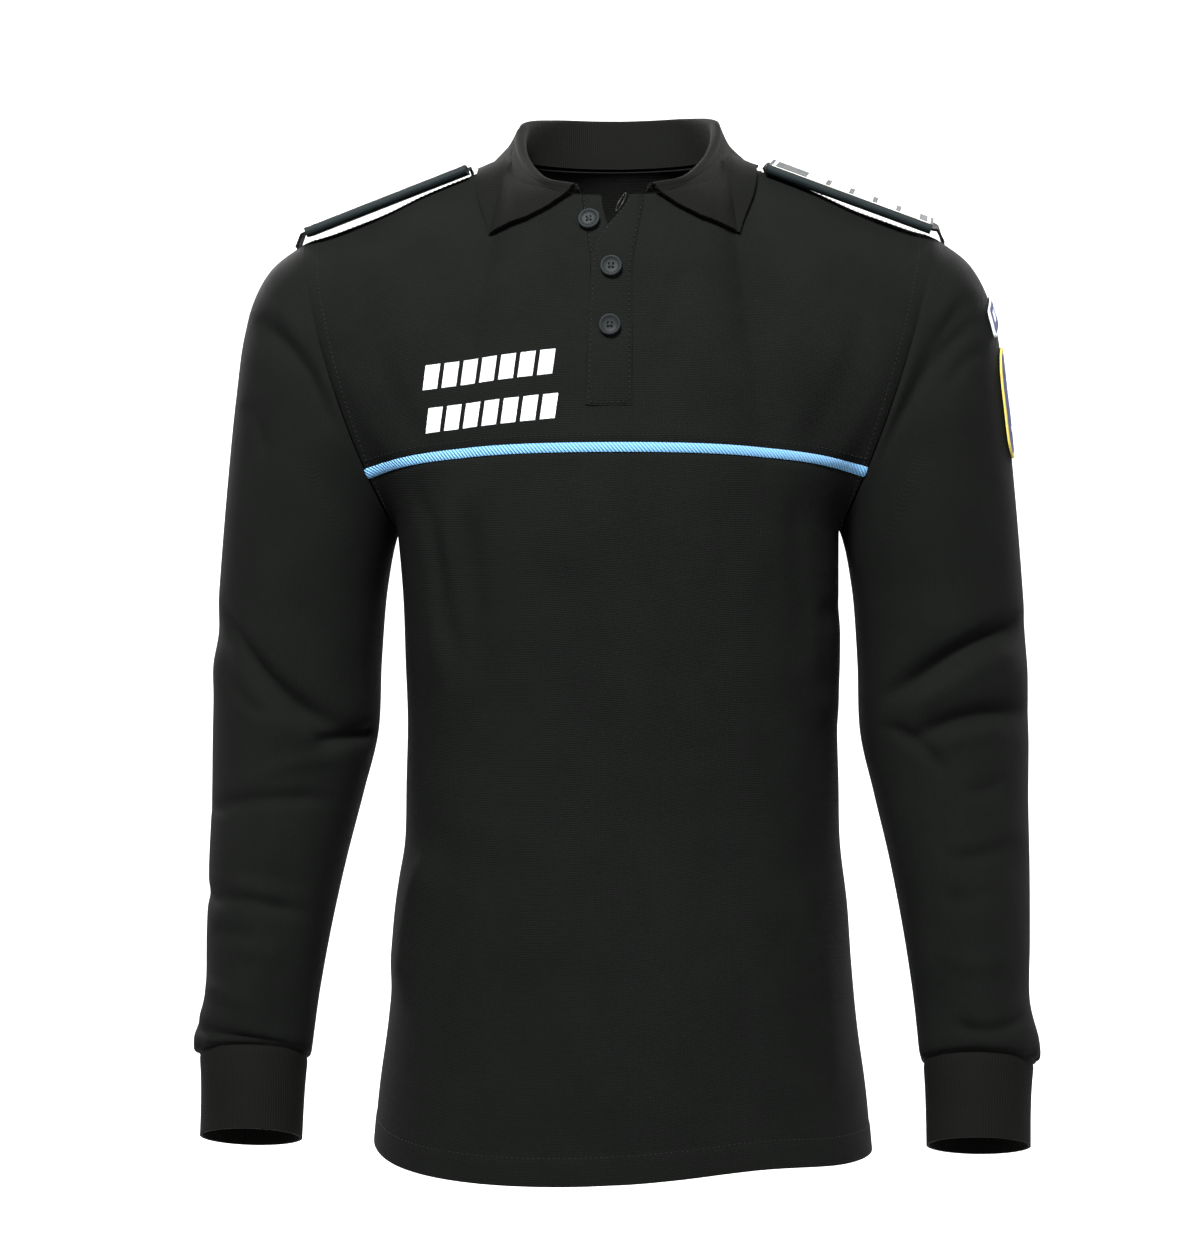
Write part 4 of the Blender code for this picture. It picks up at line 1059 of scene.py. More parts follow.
ARM_CREASES = {
    ("right", "front"): table(
        FOLD_COLUMNS,
        (-0.250, -0.122, -0.184, -0.200, -0.006, 0.0060, -0.0022),
        (-0.240, -0.112, -0.196, -0.160, -0.004, 0.0070, 0.0012),
        (-0.262, -0.180, -0.244, -0.216, -0.003, 0.0060, -0.0014),
        (-0.214, -0.120, -0.196, -0.196, 0.004, 0.0080, -0.0012),
        (-0.276, -0.326, -0.196, -0.405, 0.008, 0.0058, -0.0034),
        (-0.268, -0.350, -0.212, -0.414, 0.007, 0.0070, 0.0018),
        (-0.280, -0.360, -0.240, -0.398, 0.005, 0.0060, -0.0016),
        (-0.205, -0.416, -0.168, -0.409, 0.002, 0.0050, -0.0030),
        (-0.282, -0.463, -0.204, -0.456, -0.004, 0.0055, -0.0024),
        (-0.246, -0.440, -0.196, -0.428, -0.003, 0.0060, 0.0010),
        (-0.288, -0.524, -0.214, -0.532, -0.004, 0.0050, -0.0026),
        (-0.284, -0.512, -0.226, -0.519, -0.003, 0.0060, 0.0012),
        (-0.276, -0.546, -0.244, -0.549, -0.002, 0.0055, -0.0012),
        (-0.262, -0.556, -0.226, -0.562, -0.003, 0.0070, 0.0010),
        (-0.290, -0.611, -0.218, -0.626, -0.005, 0.0046, -0.0026),
        (-0.280, -0.584, -0.246, -0.592, -0.003, 0.0060, 0.0014),
    ),
    ("left", "front"): table(
        FOLD_COLUMNS,
        (0.243, -0.112, 0.188, -0.204, 0.006, 0.0060, -0.0020),
        (0.248, -0.127, 0.184, -0.217, 0.008, 0.0058, -0.0020),
        (0.256, -0.144, 0.232, -0.170, 0.003, 0.0055, -0.0012),
        (0.214, -0.120, 0.196, -0.190, -0.004, 0.0080, -0.0012),
        (0.280, -0.333, 0.190, -0.384, 0.005, 0.0056, -0.0040),
        (0.276, -0.352, 0.204, -0.392, 0.004, 0.0070, 0.0020),
        (0.282, -0.394, 0.204, -0.413, 0.006, 0.0056, -0.0028),
        (0.268, -0.408, 0.222, -0.418, 0.003, 0.0065, 0.0014),
        (0.190, -0.405, 0.225, -0.434, -0.003, 0.0050, -0.0022),
        (0.240, -0.449, 0.268, -0.440, 0.003, 0.0060, -0.0013),
        (0.228, -0.493, 0.276, -0.483, 0.002, 0.0055, -0.0016),
        (0.224, -0.520, 0.262, -0.512, 0.003, 0.0070, -0.0010),
        (0.226, -0.560, 0.268, -0.556, 0.004, 0.0070, 0.0010),
        (0.230, -0.602, 0.276, -0.598, 0.004, 0.0050, -0.0020),
    ),
}
HIDDEN_ARM_CREASES = table(
    FOLD_COLUMNS,
    (0.244, -0.130, 0.190, -0.200, 0.006, 0.0080, -0.0018),
    (0.272, -0.380, 0.200, -0.370, 0.004, 0.0080, -0.0020),
    (0.276, -0.405, 0.196, -0.410, 0.006, 0.0080, 0.0016),
    (0.270, -0.440, 0.206, -0.436, 0.004, 0.0070, -0.0016),
    (0.268, -0.520, 0.214, -0.512, 0.004, 0.0070, -0.0016),
    (0.272, -0.590, 0.222, -0.586, 0.004, 0.0060, -0.0018),
)


def creased(points, normals, *crease_tables):
    """The points moved along their normals by the creases."""
    scale = sizes().crease_scale
    height = sum(fold_height(rows, points) for rows in crease_tables)
    return points + normals * (height * scale)[..., None]


SEAM_ROLL = 0.0007
SEAM_ROLL_WIDTH = 0.0022


def rolled(points, normals, edges):
    """Sinks the cloth softly towards the seams on the named edges of its grid."""
    down = np.linalg.norm(np.diff(points, axis=0), axis=-1)
    fall = np.concatenate([np.zeros((1, points.shape[1])), np.cumsum(down, axis=0)])
    across = np.linalg.norm(np.diff(points, axis=1), axis=-1)
    run = np.concatenate([np.zeros((len(points), 1)), np.cumsum(across, axis=1)], axis=1)
    distance = {"first": fall, "last": fall[-1] - fall, "start": run, "end": run[:, -1:] - run}
    sink = sum(np.exp(-(distance[edge] / SEAM_ROLL_WIDTH) ** 2) for edge in edges)
    return points - normals * (SEAM_ROLL * np.minimum(sink, 1))[..., None]


def stitches(name, lines, finish):
    """Lens-shaped stitches along lines of points, each line with its normals."""
    pitch = sizes().stitch + sizes().stitch_gap
    half, thick = sizes().stitch / 2, sizes().thread
    vertices, faces = [], []
    for points, normals in lines:
        step = np.linalg.norm(np.diff(points, axis=0), axis=1)
        reach = np.concatenate([[0], np.cumsum(step)])
        middles = np.arange(pitch / 2, reach[-1] - half, pitch)
        centre = np.stack([np.interp(middles, reach, points[:, axis]) for axis in range(3)], axis=1)
        ahead = np.stack([np.interp(middles + half, reach, points[:, axis]) for axis in range(3)], axis=1)
        up = unit(np.stack([np.interp(middles, reach, normals[:, axis]) for axis in range(3)], axis=1))
        run = unit(ahead - centre)
        side = np.cross(up, run)
        for c, r, s, n in zip(centre, run, side, up):
            start = len(vertices)
            vertices += [c - r * half, c + r * half, c + s * thick / 2 + n * thick * 0.2,
                         c + n * thick * 0.8, c - s * thick / 2 + n * thick * 0.2, c - n * thick * 0.3]
            for k in range(4):
                a, b = start + 2 + k, start + 2 + (k + 1) % 4
                faces += [(start, b, a), (start + 1, a, b)]
    thing = solid(name, vertices, faces, finish, sharp=180)
    return thing


def surface_line(surface, share, climb, lift):
    """A line on the front or back, with its normals, raised off the cloth."""
    share, climb = np.broadcast_arrays(np.asarray(share, float), np.asarray(climb, float))
    normals = normals_of(surface, share, climb)
    return surface(share, climb) + normals * lift, normals


def dress(thing, node):
    """Hides the CAD node that a piece stands for."""
    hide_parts(node)
    return thing


SOFTENING = 0.012


def softened(points, climb):
    """Evens out the bend that the neckline's corners leave in the cloth well below them."""
    columns = np.arange(points.shape[1])
    place = np.concatenate([[0], np.cumsum(np.linalg.norm(np.diff(points[len(points) // 2], axis=0), axis=1))])
    nearness = np.exp(-((place[columns][:, None] - place[columns][None, :]) / SOFTENING) ** 2)
    nearness /= nearness.sum(axis=1, keepdims=True)
    even = np.einsum("ij,kjd->kid", nearness, points) * [0, 1, 0] + points * [1, 0, 1]
    inside = np.minimum(place - place[0], place[-1] - place)
    weight = blend(0.0, 0.08, climb - climb.min(axis=0)) * (1 - blend(0.80, 0.97, climb))
    weight = weight * blend(SOFTENING * 1.5, SOFTENING * 3, inside)[None, :]
    return points + (even - points) * weight[..., None]


def settled(points, climb):
    """Evens out the bend across the cloth at the height of the armpits."""
    middle = points.shape[1] // 2
    fall = np.concatenate([[0], np.cumsum(np.linalg.norm(np.diff(points[:, middle], axis=0), axis=1))])
    nearness = np.exp(-((fall[:, None] - fall[None, :]) / SOFTENING) ** 2)
    nearness /= nearness.sum(axis=1, keepdims=True)
    even = np.einsum("ij,jkd->ikd", nearness, points) * [0, 1, 0] + points * [1, 0, 1]
    weight = blend(-0.12, -0.05, climb) * (1 - blend(0.05, 0.12, climb))
    end = np.minimum(fall, fall[-1] - fall)
    weight = weight * blend(0.0, SOFTENING, end)[:, None]
    return points + (even - points) * weight[..., None]


FRONT_COLUMNS = 150
LOWER_STEPS = 190
YOKE_STEPS = 96
BACK_STEPS = 250
ARM_TURNS = 112
ARM_STEPS = 250


def hem_raised(points, normals, fall):
    """The turned hem stands a little proud, with a groove along its stitch line."""
    depth = sizes().hem
    proud = 0.0005 * (1 - blend(depth - 0.001, depth + 0.001, fall))
    groove = -0.0005 * np.exp(-((fall - depth) / 0.0012) ** 2)
    return points + normals * (proud + groove)[..., None]


class UNIFORM_OT_front(bpy.types.Operator):
    """Make the lower front, its hem and its creases"""

    bl_idname = "uniform.front"
    bl_label = "Lower front"

    def execute(self, context):
        shares = np.linspace(-1, 1, FRONT_COLUMNS)
        top = climb_at(front, shares, seam_height(shares) - PIPING_HEIGHT - SEAM)
        steps = np.linspace(0, 1, LOWER_STEPS)[:, None]
        climb = -1 + (1 + top) * steps
        share = np.broadcast_to(shares, climb.shape)
        points, normals = torso_grid(-1, share, climb)
        fall = np.concatenate([[0], np.cumsum(np.linalg.norm(np.diff(points[:, 75], axis=0), axis=-1))])
        points = creased(settled(points, climb), normals, FRONT_FOLDS, BODY_CREASES)
        points = hem_raised(points, normals, np.broadcast_to(fall[:, None], share.shape))
        points = rolled(points, normals, ("last", "start", "end"))
        panel = shell("lower_front_cloth", points, normals, PIQUE, pique_finish("pique_front"))
        dress(panel, "front_lower")
        return {"FINISHED"}


class UNIFORM_OT_yoke(bpy.types.Operator):
    """Make the upper front with the slit for the placket and the plain printed blocks"""

    bl_idname = "uniform.yoke"
    bl_label = "Upper front"

    def execute(self, context):
        half = FRONT_COLUMNS // 2
        spread = np.linspace(0, 1, half)
        steps = np.linspace(0, 1, YOKE_STEPS)
        slit_row = 12

        def row_of(climb):
            edge = slit_share(climb) + SLIT_GAP
            right = edge + (1 - edge) * spread
            middle = edge * np.linspace(-1, 1, 9)[1:-1]
            return np.concatenate([-right[::-1], middle, right])

        shares = row_of(0.0)
        seam = climb_at(front, shares, seam_height(shares) + SEAM)
        foot = climb_at(front, shares, np.full_like(shares, PLACKET_BOTTOM) - PIPING_DROP * shares ** 2)
        below = [seam + (foot - seam) * step for step in np.linspace(0, 1, slit_row + 1)]
        above = [foot + (1 - foot) * step for step in steps[1:]]
        climb = np.array(below + above)
        share = np.array([row_of(line[len(shares) // 2]) for line in climb])
        points, normals = torso_grid(-1, share, climb)
        points = creased(softened(points, climb), normals, CHEST_CREASES)
        points = rolled(points, normals, ("first", "last", "start", "end"))
        panel = shell("yoke_cloth", points, normals, PIQUE, pique_finish("pique_chest", printed=True),
                      hole=lambda i, j: (i >= slit_row) & (j >= half - 1) & (j < half + 7))
        dress(panel, "front_yoke")
        return {"FINISHED"}


class UNIFORM_OT_piping(bpy.types.Operator):
    """Make the pale band let into the chest seam"""

    bl_idname = "uniform.piping"
    bl_label = "Chest band"

    def execute(self, context):
        shares = np.linspace(-1, 1, 200)
        top = climb_at(front, shares, seam_height(shares) - SEAM)
        foot = climb_at(front, shares, seam_height(shares) - PIPING_HEIGHT + SEAM)
        steps = np.linspace(0, 1, 11)[:, None]
        climb = foot + (top - foot) * steps
        share = np.broadcast_to(shares, climb.shape)
        points, normals = torso_grid(-1, share, climb)
        round_up = PIPING_RAISE * 1.6 * np.sin(np.pi * steps) ** 0.7
        points = creased(points, normals, CHEST_CREASES) + normals * round_up[..., None]
        band = shell("chest_band", points, normals, PIQUE, piping_finish())
        dress(band, "chest_piping")
        return {"FINISHED"}


class UNIFORM_OT_back(bpy.types.Operator):
    """Make the back with its hem and creases"""

    bl_idname = "uniform.back"
    bl_label = "Back"

    def execute(self, context):
        steps = np.concatenate([np.linspace(-1, 0, 150), np.linspace(0, 1, BACK_STEPS - 149)[1:]])
        share, climb = np.meshgrid(np.linspace(-1, 1, 136), steps)
        points, normals = torso_grid(1, share, climb)
        fall = np.concatenate([[0], np.cumsum(np.linalg.norm(np.diff(points[:, 68], axis=0), axis=-1))])
        points = creased(settled(softened(points, climb), climb), normals, BACK_CREASES)
        points = hem_raised(points, normals, np.broadcast_to(fall[:, None], share.shape))
        points = rolled(points, normals, ("last", "start", "end"))
        panel = shell("back_cloth", points, normals, PIQUE, pique_finish("pique_back"))
        dress(panel, "back_panel")
        return {"FINISHED"}


def arm_parts():
    """Points and normals of the wearer's left sleeve and cuff, and how far creases may reach."""
    turns = np.linspace(math.pi, -math.pi, ARM_TURNS, endpoint=False)
    turn, row = np.meshgrid(turns, np.linspace(0, 14, ARM_STEPS))
    points, normals = sleeve(turn, row), normals_of(sleeve, turn, row)
    leaning = np.maximum((normals[0] * ARM_OUT).sum(-1, keepdims=True), 0)
    normals[0] = unit(normals[0] - leaning * ARM_OUT)
    points[0] += SEAM * ARM_OUT
    down = unit(xyz(0, -math.sin(CUFF_LEAN), -math.cos(CUFF_LEAN)))
    normals[-1] = unit(normals[-1] - (normals[-1] * down).sum(-1, keepdims=True) * down)
    points[-1] -= SEAM * down
    ease = blend(0.1, 1.0, row) * blend(0.1, 0.8, 14 - row)
    cuff_turn, cuff_row = np.meshgrid(turns, np.linspace(0, 3, 40))
    band, band_normals = cuff(cuff_turn, cuff_row), normals_of(cuff, cuff_turn, cuff_row)
    band_normals[0] = normals[-1]
    band[0] += SEAM * down
    return points, normals, ease, band, band_normals


GATHER_COUNT = 15
GATHER_DEPTH = 0.0006


class UNIFORM_OT_sleeves(bpy.types.Operator):
    """Make both sleeves with their creases, gathered softly into the cuffs"""

    bl_idname = "uniform.sleeves"
    bl_label = "Sleeves"

    def execute(self, context):
        plain, normals, ease, _, _ = arm_parts()
        finish = pique_finish("pique_sleeve")
        turns = np.linspace(math.pi, -math.pi, ARM_TURNS, endpoint=False)
        rows = np.linspace(0, 14, ARM_STEPS)[:, None]
        uneven = 0.6 + 0.4 * np.sin(2 * turns + 1.1)
        gather = GATHER_DEPTH * uneven * np.sin(GATHER_COUNT * turns + 1.6 * np.sin(3 * turns))
        gather = gather * blend(12.2, 13.3, rows)
        gather = gather * blend(0, 0.35, 14 - rows)
        for side in ("left", "right"):
            place = (lambda grid: grid) if side == "left" else mirrored
            points, facing = place(plain), place(normals)
            ahead = np.clip(-facing[..., 1] * 3 + 0.3, 0, 1)
            behind = np.clip(facing[..., 1] * 3 + 0.3, 0, 1)
            hidden = points if side == "left" else mirrored(points)
            height = (fold_height(SLEEVE_FOLDS[side], points) * 0.6
                      + fold_height(ARM_CREASES[side, "front"], points)) * ahead
            height = height + fold_height(HIDDEN_ARM_CREASES, hidden) * behind
            height = height * ease * sizes().crease_scale + gather
            points = points + facing * height[..., None]
            points = rolled(points, facing, ("first", "last"))
            order = slice(None, None, -1) if side == "left" else slice(None)
            tube = shell(f"sleeve_cloth_{side}", points[:, order], facing[:, order], PIQUE, finish, closed=True)
            dress(tube, f"sleeve_{side}")
        return {"FINISHED"}


class UNIFORM_OT_cuffs(bpy.types.Operator):
    """Make both rib-knit cuffs"""

    bl_idname = "uniform.cuffs"
    bl_label = "Cuffs"

    def execute(self, context):
        _, _, _, band, normals = arm_parts()
        finish = rib_finish("rib_cuff", sizes().rib, along=False)
        band = rolled(band, normals, ("first",))
        for side in ("left", "right"):
            place = (lambda grid: grid) if side == "left" else mirrored
            order = slice(None, None, -1) if side == "left" else slice(None)
            points, facing = place(band)[:, order], place(normals)[:, order]
            tube = shell(f"cuff_knit_{side}", points, facing, RIB, finish, closed=True)
            dress(tube, f"cuff_{side}")
        return {"FINISHED"}


class UNIFORM_OT_placket(bpy.types.Operator):
    """Make the placket's two bands, the top one turned open at the neck"""

    bl_idname = "uniform.placket"
    bl_label = "Placket"

    def execute(self, context):
        foot = climb_at(front, np.zeros(1), np.array([PLACKET_BOTTOM + 2 * SEAM]))[0]
        climb = (foot + (1 - foot) * np.linspace(0, 1, 150))[:, None]
        across = np.linspace(0, 1, 28)[None, :]
        finish = pique_finish("pique_placket")
        for name, node, area in (("placket_front", "placket_top", 0.0041), ("placket_behind", "placket_under", 0.0039)):
            points, normals = placket_band(node, climb, across)
            points = rolled(points, normals, ("first", "start", "end"))
            band = shell(name, points, normals, PIQUE, finish)
            dress(band, node)
        return {"FINISHED"}


def placket_band(node, climb, across):
    """Points and normals on one of the bands; across runs 0 to 1 over the band's width."""
    edge = slit_share(climb) - SLIT_GAP
    opening = blend(0.70, 1.0, climb)
    if node == "placket_top":
        turned = opening ** PLACKET_TURN
        low = -SLIT_SHARE * (1 - turned) + TOP_BAND_SHARE * turned
        high, left_offset, right_offset = edge, PLACKET_LIFT, 0.0
    else:
        low, left_offset, right_offset = -edge, 0.0, -PLACKET_SINK
        high = UNDER_BAND_SHARE * (1 - opening) + UNDER_BAND_TOP_SHARE * opening
    share = low + (high - low) * across
    level = np.broadcast_to(climb, share.shape)
    points, normals = torso_grid(-1, share, level)
    place = np.clip((share + edge) / (2 * edge), 0, 1)
    offset = left_offset * (1 - place) + right_offset * place
    return points + normals * offset[..., None], normals


COLLAR_ROLL = 0.0006


class UNIFORM_OT_collar(bpy.types.Operator):
    """Make the folded collar, soft and slightly uneven along its edge"""

    bl_idname = "uniform.collar"
    bl_label = "Collar"

    def execute(self, context):
        across = np.concatenate([np.linspace(0, 0.24, 14), np.linspace(0.25, 0.41, 22), np.linspace(0.43, 1, 44)])
        column, row = np.meshgrid(np.linspace(-1, 1, 240), across)
        points = collar_point(column, row)
        leaf = across > 0.45
        points[leaf] = keep_off(points[leaf], outer_tree(), RIB + COLLAR_CLEARANCE)
        points = points[:, ::-1]
        normals = grid_normals(points)
        wave = np.sin(column[:, ::-1] * 17 + row * 5) * np.sin(row * 7 + 1.3) * blend(0.5, 0.8, row)
        points = points + normals * (COLLAR_ROLL * (wave + 1) * blend(0.45, 0.6, row))[..., None]
        collar = shell("collar_knit", points, normals, RIB, rib_finish("rib_collar", sizes().collar_rib, along=False))
        dress(collar, "collar")
        return {"FINISHED"}


class UNIFORM_OT_straps(bpy.types.Operator):
    """Make the shoulder straps and the rank slides on them"""

    bl_idname = "uniform.straps"
    bl_label = "Shoulder straps"

    def execute(self, context):
        tree = outer_tree()
        finish = strap_finish()
        rank = slide_finish()
        for side in ("left", "right"):
            self.strap(side, tree, finish)
            self.slide(side, rank)
        return {"FINISHED"}

    def strap(self, side, tree, finish):
        run, width, up = strap_frame(side)
        stations = (
            (STRAP_START, 0.35, True), (STRAP_START + 0.003, 0.60, False),
            (SLIDE_START - 0.001, 0.96, False), (0.145, 1.0, False), (0.185, 1.0, False),
            (SLIDE_END + 0.001, 0.96, False), (STRAP_END - 0.003, 0.60, False), (STRAP_END, 0.35, True),
        )
        rows = []
        for x, share, landed in stations:
            line = strap_line(side, x) + up * STRAP_CLOTH / 2
            row = line + np.outer(np.linspace(-1, 1, 31) * share * STRAP_HALF_WIDTH, width)
            rows.append(land(row, tree, STRAP_CLOTH + LAYER_GAP) if landed else row)
        points = np.array(rows)
        points[[0, 1, -2, -1]] = keep_off(points[[0, 1, -2, -1]], tree, STRAP_CLOTH + LAYER_GAP)
        points = points[::-1] if side == "left" else points
        points = points if side == "left" else mirrored(points)
        points = finer(points, 6)
        strap = shell(f"strap_cloth_{side}", points, grid_normals(points), STRAP_CLOTH, finish)
        dress(strap, f"strap_{side}")

    def slide(self, side, finish):
        run, width, up = strap_frame(side)
        corner = SLIDE_HEIGHT / 2
        outline = []
        for start in (-90, 90):
            flip = 1 if start < 0 else -1
            for step in range(17):
                angle = math.radians(start + 11.25 * step)
                centre = flip * (SLIDE_HALF_WIDTH - corner)
                outline.append((centre + corner * math.cos(angle), corner * math.sin(angle),
                                math.cos(angle), math.sin(angle)))
            if start < 0:
                flat = [(place, corner, 0.0, 1.0) for place in np.linspace(0.0200, -0.0200, 25)]
            else:
                flat = [(place, -corner, 0.0, -1.0) for place in np.linspace(-0.0200, 0.0200, 25)]
            outline += flat
        rows, facing, cloth = [], [], []
        for x in np.linspace(SLIDE_START, SLIDE_END, 90):
            line = strap_line(side, x)
            rows.append([line + width * a + up * b for a, b, _, _ in outline])
            facing.append([width * c + up * d for _, _, c, d in outline])
            along = (x - SLIDE_START) / (SLIDE_END - SLIDE_START) * SLIDE_LENGTH
            cloth.append([(along, a + (10 if b < -0.0005 else 0)) for a, b, _, _ in outline])
        points, normals, cloth = np.array(rows), np.array(facing), np.array(cloth)
        if side == "right":
            points, normals = mirrored(points)[:, ::-1], mirrored(normals)[:, ::-1]
            cloth = cloth[:, ::-1]
        cloth = np.concatenate([cloth, cloth[:, :1]], axis=1)
        tube = shell(f"rank_slide_{side}", points, normals, SLIDE_WALL, finish, closed=True, cloth=cloth)
        dress(tube, f"slide_{side}")


def finer(points, times):
    """The grid with straight steps added between its rows."""
    steps = np.linspace(0, len(points) - 1, (len(points) - 1) * times + 1)
    low = np.minimum(steps.astype(int), len(points) - 2)
    part = (steps - low)[:, None, None]
    return points[low] * (1 - part) + points[low + 1] * part


PATCH_BADGES = {
    "patch_tab": ("tab_patch", 0.076, 0.020, False),
    "patch_badge": ("badge_patch", 0.066, 0.079, True),
}


class UNIFORM_OT_patches(bpy.types.Operator):
    """Make the two plain patches on the wearer's left sleeve"""

    bl_idname = "uniform.patches"
    bl_label = "Sleeve patches"

    def execute(self, context):
        for node, size in PATCHES.items():
            name, width, height, bordered = PATCH_BADGES[node]
            side, fall = np.meshgrid(np.linspace(-1, 1, 61), np.linspace(0, 1, 61))
            narrow = 1 - size["rounded"] * np.abs(2 * fall - 1) ** 5
            turn = side * size["half_angle"] * narrow
            row = size["top"] + (size["bottom"] - size["top"]) * fall + size["arch"] * side ** 2
            normals = normals_of(sleeve, turn, row)
            points = sleeve(turn, row) + normals * (PATCH_CLOTH + PATCH_GAP)
            cloth = np.stack([side * width / 2, fall * height], axis=-1)
            patch = shell(name, points, normals, PATCH_CLOTH, badge_finish(width, height, name, bordered), cloth=cloth)
            dress(patch, node)
        return {"FINISHED"}


class UNIFORM_OT_buttons(bpy.types.Operator):
    """Make the four-hole buttons, sewn on with crossed thread"""

    bl_idname = "uniform.buttons"
    bl_label = "Buttons"

    def execute(self, context):
        finish, thread = button_finish(), thread_finish("button_thread")
        profile = ((0.0, 0.0), (0.90, 0.0), (0.97, 0.14), (1.0, 0.32), (1.0, 0.72), (0.97, 0.90), (0.91, 0.99),
                   (0.85, 1.0), (0.79, 0.96), (0.72, 0.80), (0.60, 0.70), (0.42, 0.66))
        for name, x, z, share, raised in zip(BUTTON_NAMES, *BUTTONS.values()):
            share, climb = locate(front, x, z, share, 0.8)
            normal = normals_of(front, np.array(share), np.array(climb))
            edge = slit_share(climb)
            across = (share + edge) / (2 * edge)
            lift = PLACKET_LIFT * (1 - across) if raised else -PLACKET_SINK * across
            seat = front(share, climb) + normal * (max(lift, 0) + BUTTON_GAP)
            turn = Vector((0, 0, 1)).rotation_difference(Vector(normal)).to_matrix().to_4x4()
            place = Matrix.Translation(Vector(seat)) @ turn
            vertices, faces = button_mesh(profile, 64)
            vertices = [place @ Vector(vertex) for vertex in vertices]
            dress(solid(f"sewn_{name}", vertices, faces, finish, sharp=40), name)
            self.sew(f"thread_{name}", place, thread)
        return {"FINISHED"}

    def sew(self, name, place, thread):
        """Two crossed strands over the middle of the button."""
        reach, height, half = BUTTON_HOLE_SPREAD, BUTTON_HEIGHT * 0.66, 0.00035
        vertices, faces = [], []
        for sign in (-1, 1):
            run = np.array([1, sign, 0]) / math.sqrt(2)
            side = np.array([-sign, 1, 0]) / math.sqrt(2)
            start = len(vertices)
            for step in np.linspace(-1, 1, 9):
                bow = height + 0.0006 * (1 - step ** 4) - 0.0002
                centre = run * step * reach * 1.1 + np.array([0, 0, bow])
                for angle in np.linspace(0, 2 * math.pi, 8, endpoint=False):
                    vertices.append(centre + side * half * math.cos(angle)
                                    + np.array([0, 0, half * math.sin(angle)]))
            for ring in range(8):
                for corner in range(8):
                    a, b = start + ring * 8 + corner, start + ring * 8 + (corner + 1) % 8
                    faces.append((a, b, b + 8, a + 8))
        vertices = [place @ Vector(vertex) for vertex in vertices]
        solid(name, vertices, faces, thread, sharp=180)


def button_mesh(profile, steps):
    """A turned disc whose flat middle is pierced by four round holes."""
    body = bmesh.new()
    rings = []
    for out, up in profile[1:]:
        turns = [2 * math.pi * step / steps for step in range(steps)]
        rings.append([body.verts.new((out * BUTTON_RADIUS * math.cos(t), out * BUTTON_RADIUS * math.sin(t),
                                      up * BUTTON_HEIGHT)) for t in turns])
    for low, high in zip(rings, rings[1:]):
        for step in range(steps):
            after = (step + 1) % steps
            body.faces.new((low[step], low[after], high[after], high[step]))
    top = profile[-1][1] * BUTTON_HEIGHT
    for height, ring, flip in ((top, rings[-1], False), (0.0, rings[0], True)):
        edges = [body.edges.get((a, b)) or body.edges.new((a, b)) for a, b in zip(ring, ring[1:] + ring[:1])]
        for index in range(4):
            angle = math.pi / 4 + index * math.pi / 2
            x, y = BUTTON_HOLE_SPREAD * math.cos(angle), BUTTON_HOLE_SPREAD * math.sin(angle)
            hole = [body.verts.new((x + BUTTON_HOLE_RADIUS * math.cos(t), y + BUTTON_HOLE_RADIUS * math.sin(t), height))
                    for t in np.linspace(0, 2 * math.pi, 16, endpoint=False)]
            edges += [body.edges.new((a, b)) for a, b in zip(hole, hole[1:] + hole[:1])]
            rings.append(hole)
        bmesh.ops.triangle_fill(body, use_beauty=True, use_dissolve=False, edges=edges)
    tops, bottoms = rings[-8:-4], rings[-4:]
    for above, below in zip(tops, bottoms):
        for step in range(16):
            after = (step + 1) % 16
            body.faces.new((above[step], above[after], below[after], below[step]))
    bmesh.ops.recalc_face_normals(body, faces=body.faces)
    vertices = [vertex.co.copy() for vertex in body.verts]
    body.verts.index_update()
    faces = [[vertex.index for vertex in face.verts] for face in body.faces]
    body.free()
    return vertices, faces


TOPSTITCH = 0.0048
STITCH_LIFT = 0.0001


SEAM_FILL_RADIUS = 0.0007
SEAM_FILL_DEPTH = 0.0014
SEAM_FILL_SIDES = 6


def seam_fill(name, lines, finish):
    """Closes seams from inside with a thin roll of turned cloth along each line."""
    vertices, faces = [], []
    for points, normals in lines:
        run = unit(np.gradient(points, axis=0))
        side = unit(np.cross(run, normals))
        centre = points - normals * SEAM_FILL_DEPTH
        first = len(vertices)
        turns = np.linspace(0, 2 * math.pi, SEAM_FILL_SIDES, endpoint=False)
        ring = [side * math.cos(turn) + np.cross(side, run) * math.sin(turn) for turn in turns]
        rings = centre[:, None] + SEAM_FILL_RADIUS * np.stack(ring, axis=1)
        vertices.extend(rings.reshape(-1, 3))
        for i in range(len(points) - 1):
            for j in range(SEAM_FILL_SIDES):
                a, b = first + i * SEAM_FILL_SIDES + j, first + i * SEAM_FILL_SIDES + (j + 1) % SEAM_FILL_SIDES
                faces.append((a, a + SEAM_FILL_SIDES, b + SEAM_FILL_SIDES, b))
        last = first + (len(points) - 1) * SEAM_FILL_SIDES
        faces.append(tuple(range(first, first + SEAM_FILL_SIDES)))
        faces.append(tuple(range(last + SEAM_FILL_SIDES - 1, last - 1, -1)))
    solid(name, vertices, faces, finish, sharp=60)


